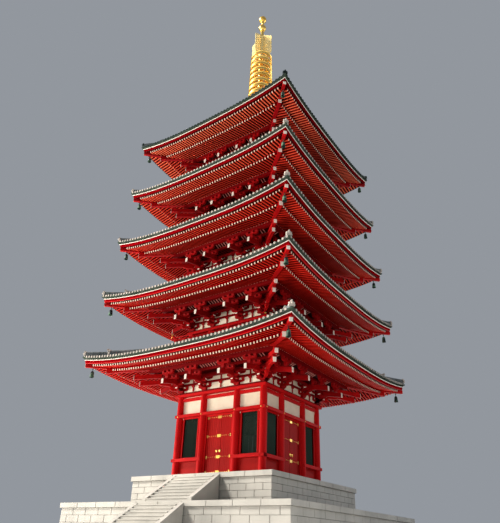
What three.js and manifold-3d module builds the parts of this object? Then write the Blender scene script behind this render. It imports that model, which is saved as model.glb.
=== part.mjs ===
// A five-storey pagoda with tiled roofs, a gilt spire and a wind bell at each roof corner.
// It is a scale model at 1 to 2. Sizes are in metres of the full-size building, heights are
// above its first floor, and SCALE turns them into millimetres of the model.
import * as THREE from 'three';
import { mergeVertices } from 'three/addons/utils/BufferGeometryUtils.js';
import Module from 'manifold-3d';

const wasm = await Module();
wasm.setup();

// Driving dimensions
const SCALE = 500;
const GAP = 0.0006;
const BASE_HEIGHT = 5.0;
const LOWER_TIER = { half: 8.6, height: 3.2 };
const UPPER_TIER = { half: 5.6 };
const STEP = { rise: 0.2, going: 0.3, halfWidth: 1.9 };

// One entry a storey: eave half-width, eave height at mid-side, corner lift, column axis
const STOREYS = [
  { eave: 8.67, eaveZ: 7.23, lift: 0.60, body: 3.55 },
  { eave: 8.25, eaveZ: 12.13, lift: 0.63, body: 3.25 },
  { eave: 7.90, eaveZ: 17.05, lift: 0.63, body: 2.95 },
  { eave: 7.60, eaveZ: 21.97, lift: 0.63, body: 2.68 },
  { eave: 7.41, eaveZ: 27.03, lift: 0.63, body: 2.42 },
];
const INNER_COLUMN = 0.4;
// The eaves curve up towards the corners, from LIFT_FROM outside the columns to the edge
const LIFT_POWER = 2.8;
const LIFT_FROM = 2.05;
const SIDE_STEPS = [-1, -0.8, -0.45, 0.45, 0.8];

// Walls
const COLUMN_RADIUS = 0.25;
const COLUMN_SIDES = 6;
const WALL = { outer: -0.04, inner: -0.24 };
const BAND = { outer: 0.28, inner: -0.26, height: 0.24 };
const PLATE = { outer: 0.36, inner: -0.30, height: 0.17 };
const PLATE_TOP = -1.55;
const WINDOW = { sill: 1.35, head: 3.95, halfWidth: 0.62 };
const UPPER_WINDOW = { below: 0.62, height: 0.46 };
const DOOR = { halfWidth: 1.05, height: 3.95, thickness: 0.12, sill: 0.24 };
const FLOOR_THICKNESS = 0.12;

// Bracket zone, between the plate on the columns and the rafters
const FRIEZE_HALF = 0.12;
const PURLIN = { at: 1.70, half: 0.12, low: -0.06, high: 0.18 };
const ARM = { half: 0.11, low: -1.30, high: -1.02, reach: 1.15 };
const TAIL = { half: 0.12, innerZ: -0.30, outerZ: -0.70, depth: 0.26, reach: 2.30 };
const PURLIN_BLOCK = { half: 0.42, low: -0.70 };
const INSET = 0.01;

// Eaves: two tiers of rafters under one deck, with a fascia along the edge
const RAFTER_SEAT = 0.50;
const BASE_TIER = { back: 1.30, low: -0.45 };
const FLYING_TIER = { back: 0.26, low: -0.42 };
const FASCIA = { back: 0.03, low: -0.28 };
const DECK = { overBase: 0.08, soffitAtPurlin: 0.28, overPurlin: 0.52, seat: 0.90 };
const SEAT_HALF = 0.38;
const HIP_HALF = 0.15;

// Roofs
const TILE_OVERHANG = 0.10;
const TILE_EDGE = { low: 0.03, high: 0.26 };
const ROOF_RISE = 2.20;
const TOP_ROOF_RISE = 5.77;
const CURB = { inner: 0.33, outer: 0.75, depth: 0.42 };
const TOP_CURB = { inner: 0.45, outer: 1.00 };
const RIDGE = { half: 0.17, height: 0.36, sunk: 0.14, short: 0.32 };
const RIDGE_END = { half: 0.24, height: 0.50, thickness: 0.14 };

// Balconies
const BALCONY = { inner: 0.34, outer: 1.02, thickness: 0.12 };
const RAILING = { at: 0.94, half: 0.04, height: 0.62 };

// Wind bells: each hangs by an eye on the square foot of a staple under the hip rafter
const BELL = { back: 0.50, hingeDrop: 0.12, length: 0.58, mouth: 0.15, shoulder: 0.085, sides: 6 };
const EYE = { apothem: 0.0168, outer: 0.042, half: 0.015, sides: 8 };
const STAPLE = { half: 0.011, innerHalf: 0.025, outerHalf: 0.045 };

// Spire
const SPIRE = {
  basinTop: 33.90, bowlTop: 35.20, mastTop: 45.90, mastRadius: 0.16,
  rings: 9, lowestRing: 35.38, ringPitch: 0.766, lowRadius: 1.23, highRadius: 1.08,
  ringDepth: 0.40, ringWidth: 0.14, spokeHalf: 0.05, sides: 8,
  flameLow: 41.80, flameHigh: 45.20, flameReach: 1.20, flameHalf: 0.035,
  ballZ: 46.36, ballRadius: 0.39, jewelZ: 47.70, jewelRadius: 0.40, tipZ: 48.30,
};

const COLOURS = {
  stone: 0xa9a398, vermilion: 0xc8321e, tile: 0x6c7173, gilt: 0xd8a738,
  bronze: 0x3d4f43, door: 0xa42a1b, floor: 0x8d8378,
};

const pagoda = new THREE.Group();

function material(colour, roughness, metalness) {
  return new THREE.MeshStandardMaterial({ color: COLOURS[colour], roughness, metalness });
}

function box(x0, x1, y0, y1, z0, z1) {
  const geometry = new THREE.BoxGeometry(x1 - x0, y1 - y0, z1 - z0);
  geometry.translate((x0 + x1) / 2, (y0 + y1) / 2, (z0 + z1) / 2);
  return geometry;
}

function meshOf(points, faces) {
  const geometry = new THREE.BufferGeometry();
  geometry.setAttribute('position', new THREE.Float32BufferAttribute(points.flat(), 3));
  geometry.setIndex(faces.flat());
  return geometry;
}

function solid(geometry) {
  const plain = geometry.clone();
  plain.deleteAttribute('normal');
  plain.deleteAttribute('uv');
  const merged = mergeVertices(plain, 1e-5);
  return new wasm.Manifold(new wasm.Mesh({
    numProp: 3,
    vertProperties: Float32Array.from(merged.attributes.position.array),
    triVerts: Uint32Array.from(merged.index.array),
  }));
}

function join(geometries) {
  return geometries.map(solid).reduce((whole, part) => whole.add(part));
}

function cut(whole, geometries) {
  return geometries.map(solid).reduce((rest, part) => rest.subtract(part), whole);
}

function addPiece(name, shape, finish) {
  let geometry = shape;
  if (!shape.isBufferGeometry) {
    const mesh = shape.getMesh();
    geometry = new THREE.BufferGeometry();
    geometry.setAttribute('position', new THREE.BufferAttribute(mesh.vertProperties, 3));
    geometry.setIndex(new THREE.BufferAttribute(mesh.triVerts, 1));
  }
  geometry = geometry.clone();
  geometry.translate(0, 0, BASE_HEIGHT);
  geometry.scale(SCALE, SCALE, SCALE);
  const piece = new THREE.Mesh(geometry, finish);
  piece.name = name;
  pagoda.add(piece);
}

// The four sides are one side turned about the tower's axis
function fourTurns(make) {
  return [0, 1, 2, 3].map((turn) => make().rotateZ((turn * Math.PI) / 2));
}

// The four corners are one made along +X and turned to the diagonals
function fourCorners(make) {
  return [0, 1, 2, 3].map((turn) => make().rotateZ(Math.PI / 4 + (turn * Math.PI) / 2));
}

function squareRing(outer, inner, z0, z1) {
  const outline = new THREE.Shape([
    new THREE.Vector2(-outer, -outer), new THREE.Vector2(outer, -outer),
    new THREE.Vector2(outer, outer), new THREE.Vector2(-outer, outer),
  ]);
  outline.holes.push(new THREE.Path([
    new THREE.Vector2(-inner, -inner), new THREE.Vector2(-inner, inner),
    new THREE.Vector2(inner, inner), new THREE.Vector2(inner, -inner),
  ]));
  const ring = new THREE.ExtrudeGeometry(outline, { depth: z1 - z0, bevelEnabled: false });
  return ring.translate(0, 0, z0);
}

// A square ring whose section is a list of [distance from the axis, height, share of the lift]
function curvedRing(section, lift) {
  const points = [];
  const faces = [];
  for (let side = 0; side < 4; side += 1) {
    const angle = (side * Math.PI) / 2;
    for (const u of SIDE_STEPS) {
      for (const [s, z, share] of section) {
        const x = u * s;
        const y = -s;
        points.push([
          x * Math.cos(angle) - y * Math.sin(angle),
          x * Math.sin(angle) + y * Math.cos(angle),
          z + lift * share * Math.abs(u) ** LIFT_POWER,
        ]);
      }
    }
  }
  const count = section.length;
  const stations = points.length / count;
  for (let i = 0; i < stations; i += 1) {
    const next = (i + 1) % stations;
    for (let j = 0; j < count; j += 1) {
      const k = (j + 1) % count;
      const a = i * count + j;
      const b = next * count + j;
      const c = next * count + k;
      const d = i * count + k;
      const outward = section[k][0] > section[j][0];
      faces.push(...(outward ? [[a, b, c], [a, c, d]] : [[a, b, d], [b, c, d]]));
    }
  }
  return meshOf(points, faces);
}

// A bar through rectangles at [x, low z, high z], of one half-width in y
function bar(stations, half) {
  const points = [];
  const faces = [];
  for (const [x, low, high] of stations) {
    points.push([x, -half, low], [x, half, low], [x, half, high], [x, -half, high]);
  }
  for (let i = 0; i + 1 < stations.length; i += 1) {
    for (let j = 0; j < 4; j += 1) {
      const a = 4 * i + j;
      const b = 4 * i + ((j + 1) % 4);
      faces.push([a, b + 4, a + 4], [a, b, b + 4]);
    }
  }
  const last = 4 * (stations.length - 1);
  faces.push([0, 2, 1], [0, 3, 2]);
  faces.push([last, last + 1, last + 2], [last, last + 2, last + 3]);
  return meshOf(points, faces);
}

function liftShare(storey, s) {
  const from = storey.body + LIFT_FROM;
  return Math.max(0, (s - from) / (storey.eave - from));
}

// Stone base with two tiers, and two flights of steps before and behind
function addBase() {
  const ground = -BASE_HEIGHT;
  const deck = ground + LOWER_TIER.height;
  const lower = LOWER_TIER.half;
  const upper = UPPER_TIER.half;
  const base = join([
    box(-lower, lower, -lower, lower, ground, deck),
    box(-upper, upper, -upper, upper, deck - 0.5, -GAP),
  ]);
  addPiece('stone_base', base, material('stone', 0.85, 0));
  for (const [side, turn] of [['front', 0], ['back', Math.PI]]) {
    const flights = [['lower', lower, ground, deck], ['upper', upper, deck, 0]];
    for (const [tier, edge, low, high] of flights) {
      addPiece(`${side}_${tier}_steps`, flight(edge, low, high, turn), material('stone', 0.85, 0));
    }
  }
}

function flight(edge, low, high, turn) {
  const steps = Math.round((high - low) / STEP.rise) - 1;
  const foot = low + (low > -BASE_HEIGHT ? GAP : 0);
  const outline = [new THREE.Vector2(0, foot), new THREE.Vector2(steps * STEP.going, foot)];
  for (let i = 1; i <= steps; i += 1) {
    outline.push(new THREE.Vector2((steps - i + 1) * STEP.going, low + i * STEP.rise));
    outline.push(new THREE.Vector2((steps - i) * STEP.going, low + i * STEP.rise));
  }
  const settings = { depth: 2 * STEP.halfWidth, bevelEnabled: false };
  const run = new THREE.ExtrudeGeometry(new THREE.Shape(outline), settings);
  run.translate(0, 0, -STEP.halfWidth);
  run.rotateX(Math.PI / 2);
  run.rotateZ(-Math.PI / 2);
  run.translate(0, -edge - GAP, 0);
  return run.rotateZ(turn);
}

function columnsOf(storey, low, high) {
  const axis = storey.body;
  const inner = INNER_COLUMN * axis;
  const make = (x) => () => {
    const column = new THREE.CylinderGeometry(COLUMN_RADIUS, COLUMN_RADIUS, high - low, COLUMN_SIDES);
    column.rotateX(Math.PI / 2);
    return column.translate(x, -axis, (low + high) / 2);
  };
  return [-axis, -inner, inner].flatMap((x) => fourTurns(make(x)));
}

function bayWindows(storey, halfWidth, low, high) {
  const middle = (storey.body * (1 + INNER_COLUMN)) / 2;
  const near = -storey.body - 0.2;
  const far = -storey.body + 0.5;
  return [-middle, middle].flatMap((x) => (
    fourTurns(() => box(x - halfWidth, x + halfWidth, near, far, low, high))
  ));
}

// Walls: columns, plaster panels, bands and the plate, hollow, with windows cut through
function addWalls(storey, number, low) {
  const b = storey.body;
  const plateTop = storey.eaveZ + PLATE_TOP - GAP;
  const plateLow = plateTop - PLATE.height;
  const ring = (size, z) => squareRing(b + size.outer, b + size.inner, z, z + size.height);
  const parts = [
    squareRing(b + WALL.outer, b + WALL.inner, low, plateTop - 0.02),
    ring(PLATE, plateLow),
    ...columnsOf(storey, low, plateLow + 0.05),
  ];
  let walls = join(number === 1 ? [...parts, ring(BAND, low), ring(BAND, plateLow - 0.45)] : parts);
  if (number === 1) {
    walls = cut(walls, bayWindows(storey, WINDOW.halfWidth, WINDOW.sill, WINDOW.head));
    const wide = DOOR.halfWidth;
    const near = -b - 0.4;
    const far = -b + 0.5;
    walls = cut(walls, fourTurns(() => box(-wide, wide, near, far, DOOR.sill, DOOR.height)));
  } else {
    const high = plateLow - UPPER_WINDOW.below + 0.1;
    const halfWidth = (b * (1 - INNER_COLUMN)) / 2 - 0.35;
    walls = cut(walls, bayWindows(storey, halfWidth, high - UPPER_WINDOW.height, high));
  }
  addPiece(`walls_${number}`, walls, material('vermilion', 0.55, 0));
}

function addDoors(storey) {
  const wide = DOOR.halfWidth - GAP;
  const middle = storey.body - 0.12;
  const near = -middle - DOOR.thickness / 2;
  const far = -middle + DOOR.thickness / 2;
  const low = DOOR.sill + GAP;
  const high = DOOR.height - GAP;
  ['front', 'right', 'back', 'left'].forEach((side, turn) => {
    const leaves = box(-wide, wide, near, far, low, high).rotateZ((turn * Math.PI) / 2);
    addPiece(`${side}_doors`, leaves, material('door', 0.5, 0));
  });
}

function addFloor(storey) {
  const half = storey.body + BAND.inner - GAP;
  addPiece('ground_floor', box(-half, half, -half, half, 0, FLOOR_THICKNESS), material('floor', 0.7, 0));
}

// Brackets: a frieze on the wall line, arms, slanted tail rafters and the purlin that they carry
function addBrackets(storey, number) {
  const b = storey.body;
  const z = storey.eaveZ;
  const tailAt = (x, corner) => {
    const share = (x - b * corner) / (TAIL.reach * corner);
    return z + TAIL.innerZ + (TAIL.outerZ - TAIL.innerZ) * share;
  };
  const tail = (corner) => {
    const end = (b + TAIL.reach) * corner;
    const start = b * corner;
    return bar([
      [start, tailAt(start, corner) - TAIL.depth, tailAt(start, corner)],
      [end, tailAt(end, corner) - TAIL.depth, tailAt(end, corner)],
    ], TAIL.half);
  };
  const arm = (corner) => bar([
    [b * corner, z + ARM.low, z + ARM.high],
    [(b + ARM.reach) * corner, z + ARM.low + 0.08, z + ARM.high],
  ], ARM.half);
  const block = () => box(
    b + PURLIN.at - PURLIN.half + INSET, b + PURLIN.at + PURLIN.half - INSET,
    -PURLIN_BLOCK.half, PURLIN_BLOCK.half, z + PURLIN_BLOCK.low, z + PURLIN.low + 0.05,
  );
  const parts = [
    squareRing(b + FRIEZE_HALF, b - FRIEZE_HALF, z + PLATE_TOP, z + RAFTER_SEAT - GAP),
    squareRing(b + PURLIN.at + PURLIN.half, b + PURLIN.at - PURLIN.half, z + PURLIN.low, z + PURLIN.high),
  ];
  for (const line of [-INNER_COLUMN * b, INNER_COLUMN * b]) {
    for (const make of [() => tail(1), () => arm(1), block]) {
      parts.push(...fourTurns(() => make().translate(0, line, 0)));
    }
  }
  parts.push(...fourCorners(() => tail(Math.SQRT2)));
  parts.push(...fourCorners(() => arm(Math.SQRT2)));
  addPiece(`brackets_${number}`, join(parts), material('vermilion', 0.5, 0));
}

// Staple: two legs across the diagonal and the square foot that a bell's eye turns on
function staple(hinge, top) {
  const { half, innerHalf, outerHalf } = STAPLE;
  const outline = new THREE.Shape([
    new THREE.Vector2(-outerHalf, top), new THREE.Vector2(-outerHalf, hinge - half),
    new THREE.Vector2(outerHalf, hinge - half), new THREE.Vector2(outerHalf, top),
    new THREE.Vector2(innerHalf, top), new THREE.Vector2(innerHalf, hinge + half),
    new THREE.Vector2(-innerHalf, hinge + half), new THREE.Vector2(-innerHalf, top),
  ]);
  const loop = new THREE.ExtrudeGeometry(outline, { depth: 2 * half, bevelEnabled: false });
  return loop.translate(0, 0, -half).rotateX(Math.PI / 2).rotateZ(Math.PI / 2);
}

// Eaves: the deck over both tiers of rafters, hip rafters, and a staple for each bell
function addEaves(storey, number, seatHalf) {
  const { eave: w, eaveZ: z, body: b } = storey;
  const purlin = b + PURLIN.at - PURLIN.half + INSET;
  const share = (s) => liftShare(storey, s);
  const point = (s, height) => [s, z + height, share(s)];
  const inner = seatHalf - SEAT_HALF;
  const deck = curvedRing([
    point(inner, RAFTER_SEAT),
    point(b + 0.15, RAFTER_SEAT),
    point(purlin, DECK.soffitAtPurlin),
    point(w - BASE_TIER.back, BASE_TIER.low),
    point(w - FLYING_TIER.back, FLYING_TIER.low),
    point(w - FASCIA.back, FASCIA.low),
    point(w, 0),
    point(w - BASE_TIER.back, DECK.overBase),
    point(purlin, DECK.overPurlin),
    point(seatHalf + SEAT_HALF, DECK.seat),
    point(inner, DECK.seat),
  ], storey.lift);
  const diagonal = (s, low, high) => [s * Math.SQRT2, z + low, z + high];
  const parts = [deck];
  parts.push(...fourCorners(() => bar([
    diagonal(b + 0.3, 0.40, 0.62),
    diagonal(b + PURLIN.at + PURLIN.half + 0.02, 0.20, 0.40),
    diagonal(w - 1.17, -0.36, 0.10),
    diagonal(w - 1.16, -0.08, 0.30),
    diagonal(w - 0.10, -0.03, 0.40),
  ], HIP_HALF)));
  const x = (w - BELL.back) * Math.SQRT2;
  const hinge = z - BELL.hingeDrop;
  parts.push(...fourCorners(() => staple(hinge, z + 0.06).translate(x, 0, 0)));
  addPiece(`eaves_${number}`, join(parts), material('vermilion', 0.5, 0));
}

// Roof: the tiled shell with its hip ridges and ridge-end tiles
function addRoof(storey, number, curbHalf, curb, rise) {
  const { eave: w, eaveZ: z } = storey;
  const edge = w + TILE_OVERHANG;
  const rim = curbHalf + curb.outer;
  const run = edge - rim;
  const height = (s) => {
    const share = (edge - s) / run;
    return TILE_EDGE.high + (rise - TILE_EDGE.high) * (0.75 * share + 0.25 * share * share);
  };
  const lift = (s) => Math.max(0, liftShare(storey, s) * 0.85 + 0.15 * ((s - rim) / run));
  const tilePoint = (s) => [s, z + height(s), lift(s)];
  const stops = [edge, edge - run * 0.35, rim];
  const under = w - BASE_TIER.back;
  const underShare = liftShare(storey, under);
  const shell = curvedRing([
    [edge, z + TILE_EDGE.low, liftShare(storey, edge)],
    ...stops.map(tilePoint),
    [curbHalf + curb.inner, z + rise, 0],
    [curbHalf + curb.inner, z + rise - CURB.depth, 0],
    [under, z + DECK.overBase + GAP * 2, underShare],
    [w, z + GAP * 2, 1],
  ], storey.lift);
  const ridgeAt = (s, up) => {
    const top = z + height(s) + storey.lift * lift(s);
    return [s * Math.SQRT2, top - RIDGE.sunk, top + up];
  };
  const parts = [shell];
  const ridgeStops = [rim + RIDGE.short, stops[1], edge];
  parts.push(...fourCorners(() => bar(ridgeStops.map((s) => ridgeAt(s, RIDGE.height)), RIDGE.half)));
  parts.push(...fourCorners(() => bar([
    ridgeAt(edge - RIDGE_END.thickness, RIDGE_END.height),
    ridgeAt(edge + 0.02, RIDGE_END.height + 0.04),
  ], RIDGE_END.half)));
  addPiece(`roof_${number}`, join(parts), material('tile', 0.6, 0.1));
}

// Balcony: a floor on the roof's curb, with posts and two rails
function addBalcony(storey, number, low) {
  const b = storey.body;
  const top = low + BALCONY.thickness;
  const at = b + RAILING.at;
  const { half } = RAILING;
  const post = (x) => () => box(
    x - half, x + half, -at - half, -at + half, top - 0.05, top + RAILING.height - 0.02,
  );
  const rail = (height) => squareRing(at + half, at - half, top + height - 2 * half, top + height);
  const parts = [
    squareRing(b + BALCONY.outer, b + BALCONY.inner, low, top),
    rail(RAILING.height),
    ...[-at, 0].flatMap((x) => fourTurns(post(x))),
  ];
  addPiece(`balcony_${number}`, join(parts), material('vermilion', 0.5, 0));
}

// Bell: a solid body under an eye that turns on the staple's foot
function bellShape() {
  const { length, mouth, shoulder } = BELL;
  const { sides } = EYE;
  const body = lathe([
    [0, -length], [mouth, -length], [mouth * 0.80, -length * 0.75], [shoulder, -length * 0.28],
    [0.024, -length * 0.20], [0.020, -EYE.outer * 0.8], [0, -EYE.outer * 0.8],
  ], BELL.sides);
  const eye = new THREE.Shape();
  const hole = new THREE.Path();
  const holeRadius = EYE.apothem / Math.cos(Math.PI / sides);
  for (let i = 0; i < sides; i += 1) {
    const angle = ((i + 0.5) * 2 * Math.PI) / sides;
    const outward = [Math.cos(angle), Math.sin(angle)];
    const [start, add] = i === 0 ? ['moveTo', 'moveTo'] : ['lineTo', 'lineTo'];
    eye[start](EYE.outer * outward[0], EYE.outer * outward[1]);
    hole[add](holeRadius * outward[0], -holeRadius * outward[1]);
  }
  eye.holes.push(hole);
  const plate = new THREE.ExtrudeGeometry(eye, { depth: 2 * EYE.half, bevelEnabled: false });
  plate.translate(0, 0, -EYE.half).rotateX(Math.PI / 2);
  return join([body, plate]);
}

function addBells(storey, number, shape) {
  const corners = [['front_right', -45], ['back_right', 45], ['back_left', 135], ['front_left', 225]];
  const mesh = shape.getMesh();
  for (const [corner, degrees] of corners) {
    const geometry = new THREE.BufferGeometry();
    geometry.setAttribute('position', new THREE.BufferAttribute(mesh.vertProperties.slice(), 3));
    geometry.setIndex(new THREE.BufferAttribute(mesh.triVerts.slice(), 1));
    geometry.translate((storey.eave - BELL.back) * Math.SQRT2, 0, storey.eaveZ - BELL.hingeDrop);
    geometry.rotateZ(THREE.MathUtils.degToRad(degrees));
    addPiece(`bell_${number}_${corner}`, geometry, material('bronze', 0.5, 0.7));
  }
}

function lathe(pairs, sides) {
  const profile = pairs.map(([r, z]) => new THREE.Vector2(r, z));
  return new THREE.LatheGeometry(profile, sides).rotateX(Math.PI / 2);
}

function ball(z, radius, rows, sides) {
  return new THREE.SphereGeometry(radius, sides, rows).rotateX(Math.PI / 2).translate(0, 0, z);
}

// Spire: square basin, bowl with lotus, nine rings on the mast, water flame and jewels
function addSpire(roofTop) {
  const gilt = () => material('gilt', 0.3, 1);
  const { basinTop, bowlTop, mastTop, mastRadius } = SPIRE;
  const low = roofTop + GAP;
  addPiece('dew_basin', join([
    box(-1.0, 1.0, -1.0, 1.0, low, low + 0.18),
    box(-0.82, 0.82, -0.82, 0.82, low + 0.1, basinTop - 0.1),
    box(-0.98, 0.98, -0.98, 0.98, basinTop - 0.22, basinTop),
  ]), gilt());
  const bowlLow = basinTop + GAP;
  addPiece('lotus_bowl', lathe([
    [0, bowlLow], [0.86, bowlLow], [0.84, bowlLow + 0.3], [0.62, bowlLow + 0.62], [0.34, bowlLow + 0.76],
    [0.40, bowlLow + 0.9], [0.92, bowlTop - 0.12], [0.86, bowlTop], [0, bowlTop],
  ], 12), gilt());
  const mastLow = bowlTop + GAP;
  const mast = new THREE.CylinderGeometry(mastRadius, mastRadius * 1.25, mastTop - mastLow, 6);
  const parts = [mast.rotateX(Math.PI / 2).translate(0, 0, (mastTop + mastLow) / 2)];
  for (let i = 0; i < SPIRE.rings; i += 1) {
    const radius = SPIRE.lowRadius + ((SPIRE.highRadius - SPIRE.lowRadius) * i) / (SPIRE.rings - 1);
    const z = SPIRE.lowestRing + i * SPIRE.ringPitch;
    const inner = radius - SPIRE.ringWidth;
    const half = SPIRE.ringDepth / 2;
    const across = inner + SPIRE.ringWidth / 2;
    const spoke = SPIRE.spokeHalf;
    parts.push(lathe([
      [inner, z - half], [radius, z - half], [radius, z + half], [inner, z + half], [inner, z - half],
    ], SPIRE.sides));
    parts.push(box(-across, across, -spoke, spoke, z - spoke, z + spoke));
    parts.push(box(-spoke, spoke, -across, across, z - spoke, z + spoke));
  }
  const collarTop = SPIRE.flameLow - GAP;
  parts.push(lathe([[0, collarTop - 0.2], [0.30, collarTop - 0.2], [0.30, collarTop], [0, collarTop]], 6));
  addPiece('ring_mast', join(parts), gilt());
  addPiece('water_flame', join([
    ...fourTurns(() => flameFin()),
    lathe([
      [mastRadius + 0.03, SPIRE.flameLow], [0.27, SPIRE.flameLow], [0.27, SPIRE.flameHigh - 0.3],
      [mastRadius + 0.03, SPIRE.flameHigh - 0.3], [mastRadius + 0.03, SPIRE.flameLow],
    ], 8),
  ]), gilt());
  addPiece('jewels', join([
    lathe([
      [0, mastTop + GAP], [0.22, mastTop + GAP], [0.12, mastTop + 0.2], [0.10, SPIRE.jewelZ],
      [0, SPIRE.jewelZ],
    ], 8),
    ball(SPIRE.ballZ, SPIRE.ballRadius, 6, 10),
    ball(SPIRE.jewelZ, SPIRE.jewelRadius, 6, 10),
    lathe([[0, SPIRE.jewelZ], [0.16, SPIRE.jewelZ + 0.2], [0, SPIRE.tipZ]], 8),
  ]), gilt());
}

// One fin of the water flame, with a piercing, from the sleeve outwards along +X
function flameFin() {
  const { flameLow: low, flameHigh: high, flameReach: reach, flameHalf: half } = SPIRE;
  const tall = high - low;
  const outline = new THREE.Shape();
  outline.moveTo(0.22, low + tall * 0.15);
  outline.lineTo(0.60, low);
  outline.quadraticCurveTo(reach, low, reach + 0.04, low + tall * 0.16);
  outline.lineTo(reach - 0.04, low + tall * 0.43);
  outline.quadraticCurveTo(reach + 0.06, low + tall * 0.68, reach - 0.02, low + tall * 0.77);
  outline.lineTo(0.70, low + tall * 0.89);
  outline.quadraticCurveTo(0.40, low + tall * 0.94, 0.24, high);
  outline.closePath();
  const hole = new THREE.Path();
  hole.absarc(0.6, low + tall * 0.24, 0.2, 0, 2 * Math.PI, true);
  outline.holes.push(hole);
  const settings = { depth: 2 * half, bevelEnabled: false, curveSegments: 3 };
  const fin = new THREE.ExtrudeGeometry(outline, settings);
  return fin.translate(0, 0, -half).rotateX(Math.PI / 2);
}

addBase();
addFloor(STOREYS[0]);
addDoors(STOREYS[0]);
const bell = bellShape();
let seat = 0;
STOREYS.forEach((storey, index) => {
  const number = index + 1;
  const next = STOREYS[index + 1];
  addWalls(storey, number, seat + GAP);
  addBrackets(storey, number);
  addEaves(storey, number, next ? next.body : storey.body);
  if (next) {
    addRoof(storey, number, next.body, CURB, ROOF_RISE);
    addBalcony(next, number + 1, storey.eaveZ + ROOF_RISE + GAP);
  } else {
    addRoof(storey, number, 0, TOP_CURB, TOP_ROOF_RISE);
  }
  addBells(storey, number, bell);
  seat = storey.eaveZ + DECK.seat;
});
addSpire(STOREYS[STOREYS.length - 1].eaveZ + TOP_ROOF_RISE);

export default pagoda;
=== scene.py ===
import math

import bmesh
import bpy
from mathutils import Matrix, Vector


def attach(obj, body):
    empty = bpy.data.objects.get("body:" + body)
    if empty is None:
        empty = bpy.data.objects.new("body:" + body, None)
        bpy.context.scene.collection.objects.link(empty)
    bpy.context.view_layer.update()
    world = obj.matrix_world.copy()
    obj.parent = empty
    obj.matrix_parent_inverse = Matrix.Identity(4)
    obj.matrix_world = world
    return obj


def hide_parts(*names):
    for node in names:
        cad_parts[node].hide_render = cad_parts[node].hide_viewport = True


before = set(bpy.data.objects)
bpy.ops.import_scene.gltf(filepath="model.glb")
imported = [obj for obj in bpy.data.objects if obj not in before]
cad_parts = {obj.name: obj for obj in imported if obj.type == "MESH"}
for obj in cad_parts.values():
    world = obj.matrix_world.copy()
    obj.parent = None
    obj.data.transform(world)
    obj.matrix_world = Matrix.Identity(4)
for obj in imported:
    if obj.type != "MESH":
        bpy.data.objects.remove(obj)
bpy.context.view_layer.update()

# Sizes are in metres of the full-size building, with heights above its first floor.
# TO_MODEL turns them into the model at 1 to 2 that stands on the ground.
HALF = 0.5
BASE_HEIGHT = 5.0
TO_MODEL = Matrix.Translation((0, 0, BASE_HEIGHT * HALF)) @ Matrix.Scale(HALF, 4)
TOWER = "tower"
QUARTER, EIGHTH = math.pi / 2, math.pi / 4
ROOT = math.sqrt(2)

# One entry a storey: eave half-width, height of the eave at mid-side, corner lift, column axis
# and the spacing of the rafters
STOREYS = [
    {"eave": 8.67, "z": 7.23, "lift": 0.60, "body": 3.55, "pitch": 0.2355},
    {"eave": 8.25, "z": 12.13, "lift": 0.63, "body": 3.25, "pitch": 0.2390},
    {"eave": 7.90, "z": 17.05, "lift": 0.63, "body": 2.95, "pitch": 0.2425},
    {"eave": 7.60, "z": 21.97, "lift": 0.63, "body": 2.68, "pitch": 0.2460},
    {"eave": 7.41, "z": 27.03, "lift": 0.63, "body": 2.42, "pitch": 0.2495},
]
INNER_COLUMN = 0.4
LIFT_POWER = 2.8
LIFT_FROM = 2.05
PURLIN = {"at": 1.70, "half": 0.12, "low": -0.06, "high": 0.18}
PURLIN_FACE = PURLIN["at"] + PURLIN["half"]
ROOF_RISE, TOP_ROOF_RISE = 2.20, 5.77
CURB, TOP_CURB = (0.33, 0.75), (0.45, 1.00)
TILE_OVERHANG = 0.10
TILE_EDGE = 0.26


def spin(angle, axis="Z"):
    return Matrix.Rotation(angle, 4, axis)


def at(x, y, z):
    return Matrix.Translation((x, y, z))


def circle(radius, sides):
    """Points round a circle, as pairs."""
    angles = [2 * math.pi * i / sides for i in range(sides)]
    return [(radius * math.cos(a), radius * math.sin(a)) for a in angles]


# Camera: its place and angles come from the photograph, whose frame is 500 by 523
CAMERA_AT = Vector((22.03, -31.36, -3.82))
CAMERA_YAW, CAMERA_PITCH, CAMERA_ROLL = (math.radians(a) for a in (35.56, 25.99, 2.09))
FOCAL_PIXELS, FRAME_HEIGHT, OPTICAL_CENTRE = 521.9, 523, 290


def make_camera():
    data = bpy.data.cameras.new("camera")
    data.sensor_width = 36
    data.lens = FOCAL_PIXELS * data.sensor_width / FRAME_HEIGHT
    data.shift_y = (OPTICAL_CENTRE - FRAME_HEIGHT / 2) / FRAME_HEIGHT
    data.clip_end = 500
    camera = bpy.data.objects.new("camera", data)
    bpy.context.scene.collection.objects.link(camera)
    turn = spin(CAMERA_YAW) @ spin(QUARTER + CAMERA_PITCH, "X") @ spin(CAMERA_ROLL)
    camera.matrix_world = Matrix.Translation(TO_MODEL @ CAMERA_AT) @ turn
    bpy.context.scene.camera = camera


# Expressions on sockets: each operator adds its Math node, in a shader or a geometry tree
class Term:
    def __init__(self, tree, socket):
        self.tree, self.socket = tree, socket

    def maths(self, operation, first, *others):
        node = self.tree.nodes.new("ShaderNodeMath")
        node.operation = operation
        for socket, value in zip(node.inputs, (first, *others)):
            plug(self.tree, socket, value)
        return Term(self.tree, node.outputs[0])

    def __add__(self, other):
        return self.maths("ADD", self, other)

    def __radd__(self, other):
        return self.maths("ADD", other, self)

    def __sub__(self, other):
        return self.maths("SUBTRACT", self, other)

    def __mul__(self, other):
        return self.maths("MULTIPLY", self, other)

    def __rmul__(self, other):
        return self.maths("MULTIPLY", other, self)

    def __truediv__(self, other):
        return self.maths("DIVIDE", self, other)

    def __pow__(self, other):
        return self.maths("POWER", self, other)

    def __abs__(self):
        return self.maths("ABSOLUTE", self)

    def over(self, floor):
        return self.maths("MAXIMUM", self, floor)


def plug(tree, socket, value):
    if isinstance(value, Term):
        tree.links.new(value.socket, socket)
    else:
        socket.default_value = value


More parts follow.
